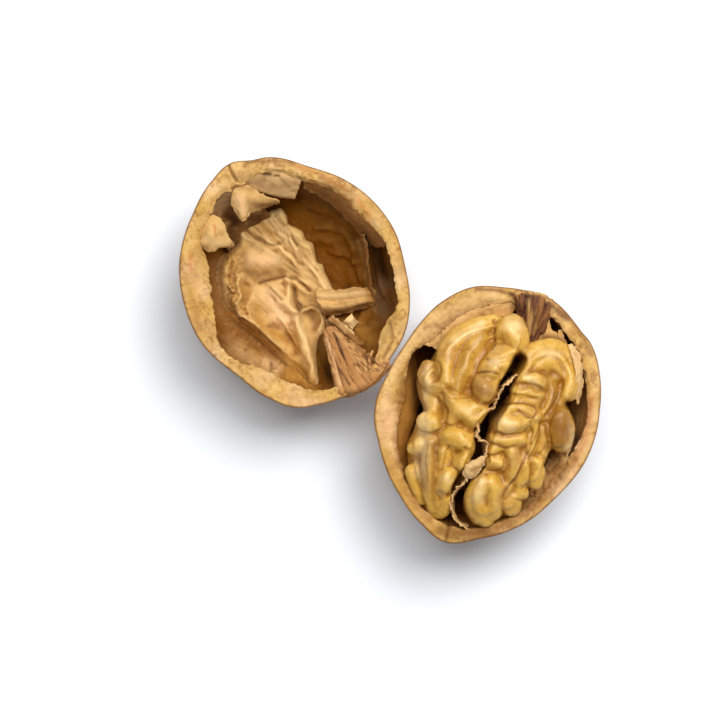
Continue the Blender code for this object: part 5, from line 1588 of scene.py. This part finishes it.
def sheet(name, tone, thickness, rows, on_half, slot, *nodes):
    """A torn papery sheet through rows of points across it."""
    net = np.array(rows, float)
    spots = on_half(net[..., :2].reshape(-1, 2)).reshape(*net.shape[:2], 2)
    net = np.concatenate([spots, net[..., 2:] * MM + RIM_HEIGHT], axis=2)
    across = np.array([drawn_out(row, SHEET_STEPS) for row in net])
    fine_net = np.array([drawn_out(across[:, i], SHEET_STEPS) for i in range(across.shape[1])])
    count, width = fine_net.shape[:2]
    mesh = flat_grid(name, count - 1, width - 1)
    x, y, _ = read(mesh).T
    i = np.rint((x + 1) / 2 * (count - 1)).astype(int)
    j = np.rint((y + 1) / 2 * (width - 1)).astype(int)
    points = fine_net[i, j]
    border = np.minimum.reduce([i, j, count - 1 - i, width - 1 - j])
    torn = np.exp(-border / 3.0)
    waves = ((0.6, 80), (0.6, 81), (1.4, 82))
    shift = np.column_stack([grain(points, size * MM, seed) for size, seed in waves])
    sideways = (0.08 + 0.18 * torn) * RAGGED.get(name, 1)
    points = points + shift * np.column_stack([sideways, sideways, np.full(len(points), 0.10)]) * MM
    tint = np.tile(PAINTS[tone], (len(points), 1))
    if name in SHEET_ROOTS:
        light, dark, root = SHEET_ROOTS[name]
        middle = on_half([root])[0]
        lines = streaks(points, middle, 0.7 * MM, 71) + 0.5 * streaks(points, middle, 0.25 * MM, 72)
        points[:, 2] += 0.55 * MM * lines
        tint = towards(tint, PAINTS[light], 0.8, 0.0, 0.45, lines)
        tint = towards(tint, PAINTS[dark], 0.9, 0.05, 0.5, -lines)
    else:
        tint = towards(tint, PAINTS["pale"], 0.3, 0, 0.5, grain(points, 1.5 * MM, 83))
        tint = towards(tint, PAINTS["brown"], 0.35, 0.1, 0.5, grain(points, 1.0 * MM, 84))
    tint = paint(tint, points, SHEET_PAINT.get(name, []), on_half)
    write(mesh, points)
    give(mesh, "tint", tint)
    made = show(name, mesh, PAPER_FINISH, slot, *nodes)
    wall = made.modifiers.new("wall", "SOLIDIFY")
    wall.thickness = thickness * MM
    wall.offset = 0
    return made


def build_fibres(name, bunch, half, on_half, root, slope, tones, slot, node):
    """Dry fibres that run together at a stem end: rows of balls, streaked lengthwise from the root."""
    parts = []
    for radius, depth, route in bunch:
        spots = on_half(route)
        sizes = radius / 100 * MM * np.linspace(0.8, 1.25, len(spots))
        stops = [(*spot, size) for spot, size in zip(spots, sizes)]
        edge = RIM_HEIGHT - depth * MM

        def fall(spots, radius):
            return edge - slope * np.maximum(0, 17 * MM - np.hypot(*(spots - half.centre).T))

        parts.append(balls(stops, fall))
    mesh = melted(name, parts, THIN_VOXEL, 1)
    points = read(mesh)
    arms = points[:, :2] - on_half([root])[0]
    around = np.arctan2(arms[:, 1], arms[:, 0])
    streak = np.column_stack([around * 14 * MM, np.hypot(*arms.T) * 0.12, points[:, 2] * 0.5])
    lines = grain(streak, 0.35 * MM, 70)
    points += read_normals(mesh) * (0.08 * MM * lines)[:, None]
    write(mesh, points)
    middle, light, dark = tones
    tint = np.tile(middle, (len(points), 1))
    tint = towards(tint, light, 0.8, -0.1, 0.4, lines)
    tint = towards(tint, dark, 0.7, 0.1, 0.5, -lines)
    # Painted shade in the creases between the fibres.
    crease = cavity(mesh, 15) / MM
    tint = towards(tint, dark * 0.6, 0.9, 0.01, 0.1, crease)
    give(mesh, "tint", tint)
    show(name, mesh, PAPER_FINISH, slot, node)


# The stage


def build_stage():
    camera = bpy.data.objects.new("camera", bpy.data.cameras.new("camera"))
    bpy.context.scene.collection.objects.link(camera)
    middle = plan([IMAGE_MIDDLE])[0]
    camera.location = (middle[0], middle[1], RIM_HEIGHT + CAMERA_DISTANCE)
    camera.data.sensor_width = SENSOR_WIDTH
    camera.data.lens = SENSOR_WIDTH * CAMERA_DISTANCE / (PICTURE_PIXELS * PIXEL)
    camera.data.clip_start = 0.01
    bpy.context.scene.camera = camera

    floor_mesh = flat_grid("floor", 1, 1, FLOOR_SIZE)
    floor = bpy.data.objects.new("floor", floor_mesh)
    bpy.context.scene.collection.objects.link(floor)
    white = bpy.data.materials.new("floor_white")
    white.use_nodes = True
    white.node_tree.nodes["Principled BSDF"].inputs["Base Color"].default_value = (0.87, 0.9, 0.93, 1)
    white.node_tree.nodes["Principled BSDF"].inputs["Roughness"].default_value = 0.9
    white.node_tree.nodes["Principled BSDF"].inputs["Specular IOR Level"].default_value = 0.1
    floor_mesh.materials.append(white)

    def area(name, place, size, power):
        light = bpy.data.lights.new(name, "AREA")
        light.shape = "DISK"
        light.size = size
        light.energy = power
        lamp = bpy.data.objects.new(name, light)
        bpy.context.scene.collection.objects.link(lamp)
        lamp.location = place
        lamp.rotation_euler = (Vector(LIT_PLACE) - Vector(place)).to_track_quat("-Z", "Y").to_euler()

    area("key", **KEY_LIGHT)
    area("high_light", **HIGH_LIGHT)
    world = bpy.data.worlds.new("studio")
    world.use_nodes = True
    world.node_tree.nodes["Background"].inputs["Color"].default_value = (0.95, 0.97, 1.0, 1)
    world.node_tree.nodes["Background"].inputs["Strength"].default_value = ROOM_LIGHT
    bpy.context.scene.world = world
    bpy.context.scene.view_settings.view_transform = "Standard"


SHELL_FINISH = finish(
    "shell", 0.8, 0.5,
    {"Blotch_Size": 500.0, "Blotch": 0.42, "Speck_Size": 2600.0, "Speck": 0.5, "Grain": 0.3}, 0.45,
    specular=0.35, glint=(1.0, 0.72, 0.38),
)
KERNEL_FINISH = finish(
    "kernel", 0.31, 0.25,
    {"Blotch_Size": 350.0, "Blotch": 0.18, "Speck_Size": 3000.0, "Speck": 0.10, "Grain": 0.12},
    subsurface=0.12, specular=0.6, glint=(1.0, 0.92, 0.78),
)
PAPER_FINISH = finish(
    "lining", 0.7, 0.35,
    {"Blotch_Size": 260.0, "Blotch": 0.25, "Speck_Size": 3000.0, "Speck": 0.25, "Grain": 0.25},
    specular=0.3, glint=(1.0, 0.8, 0.55),
)


build_stage()
build_shell("empty")
build_shell("kernel")
build_kernel()
build_partition()
build_fibres(
    "fine_stem_fibres_empty", FAN, HALF["empty"], on_empty, (900, 1020), 0.75,
    (FIBRE, PAINTS["tan"], PAINTS["plum"]), "fibres", "stem_fibres_empty",
)
build_fibres(
    "fine_stem_fibres_full", BUNDLE, HALF["kernel"], on_kernel, (930, 520), 0.35,
    (PAINTS["plum"], PAINTS["umber"], PAINTS["dark_plum"]), "dark_fibres", "stem_fibres_full",
)
for sheets, on_half in ((EMPTY_SHEETS, on_empty), (KERNEL_SHEETS, on_kernel)):
    for sheet_name, (sheet_tone, sheet_thickness, sheet_rows) in sheets.items():
        nodes = [sheet_name.removeprefix("fine_")] if sheet_name.startswith("fine_") else []
        slot = "septum" if "septum" in sheet_name else "lining"
        sheet(sheet_name, sheet_tone, sheet_thickness, sheet_rows, on_half, slot, *nodes)
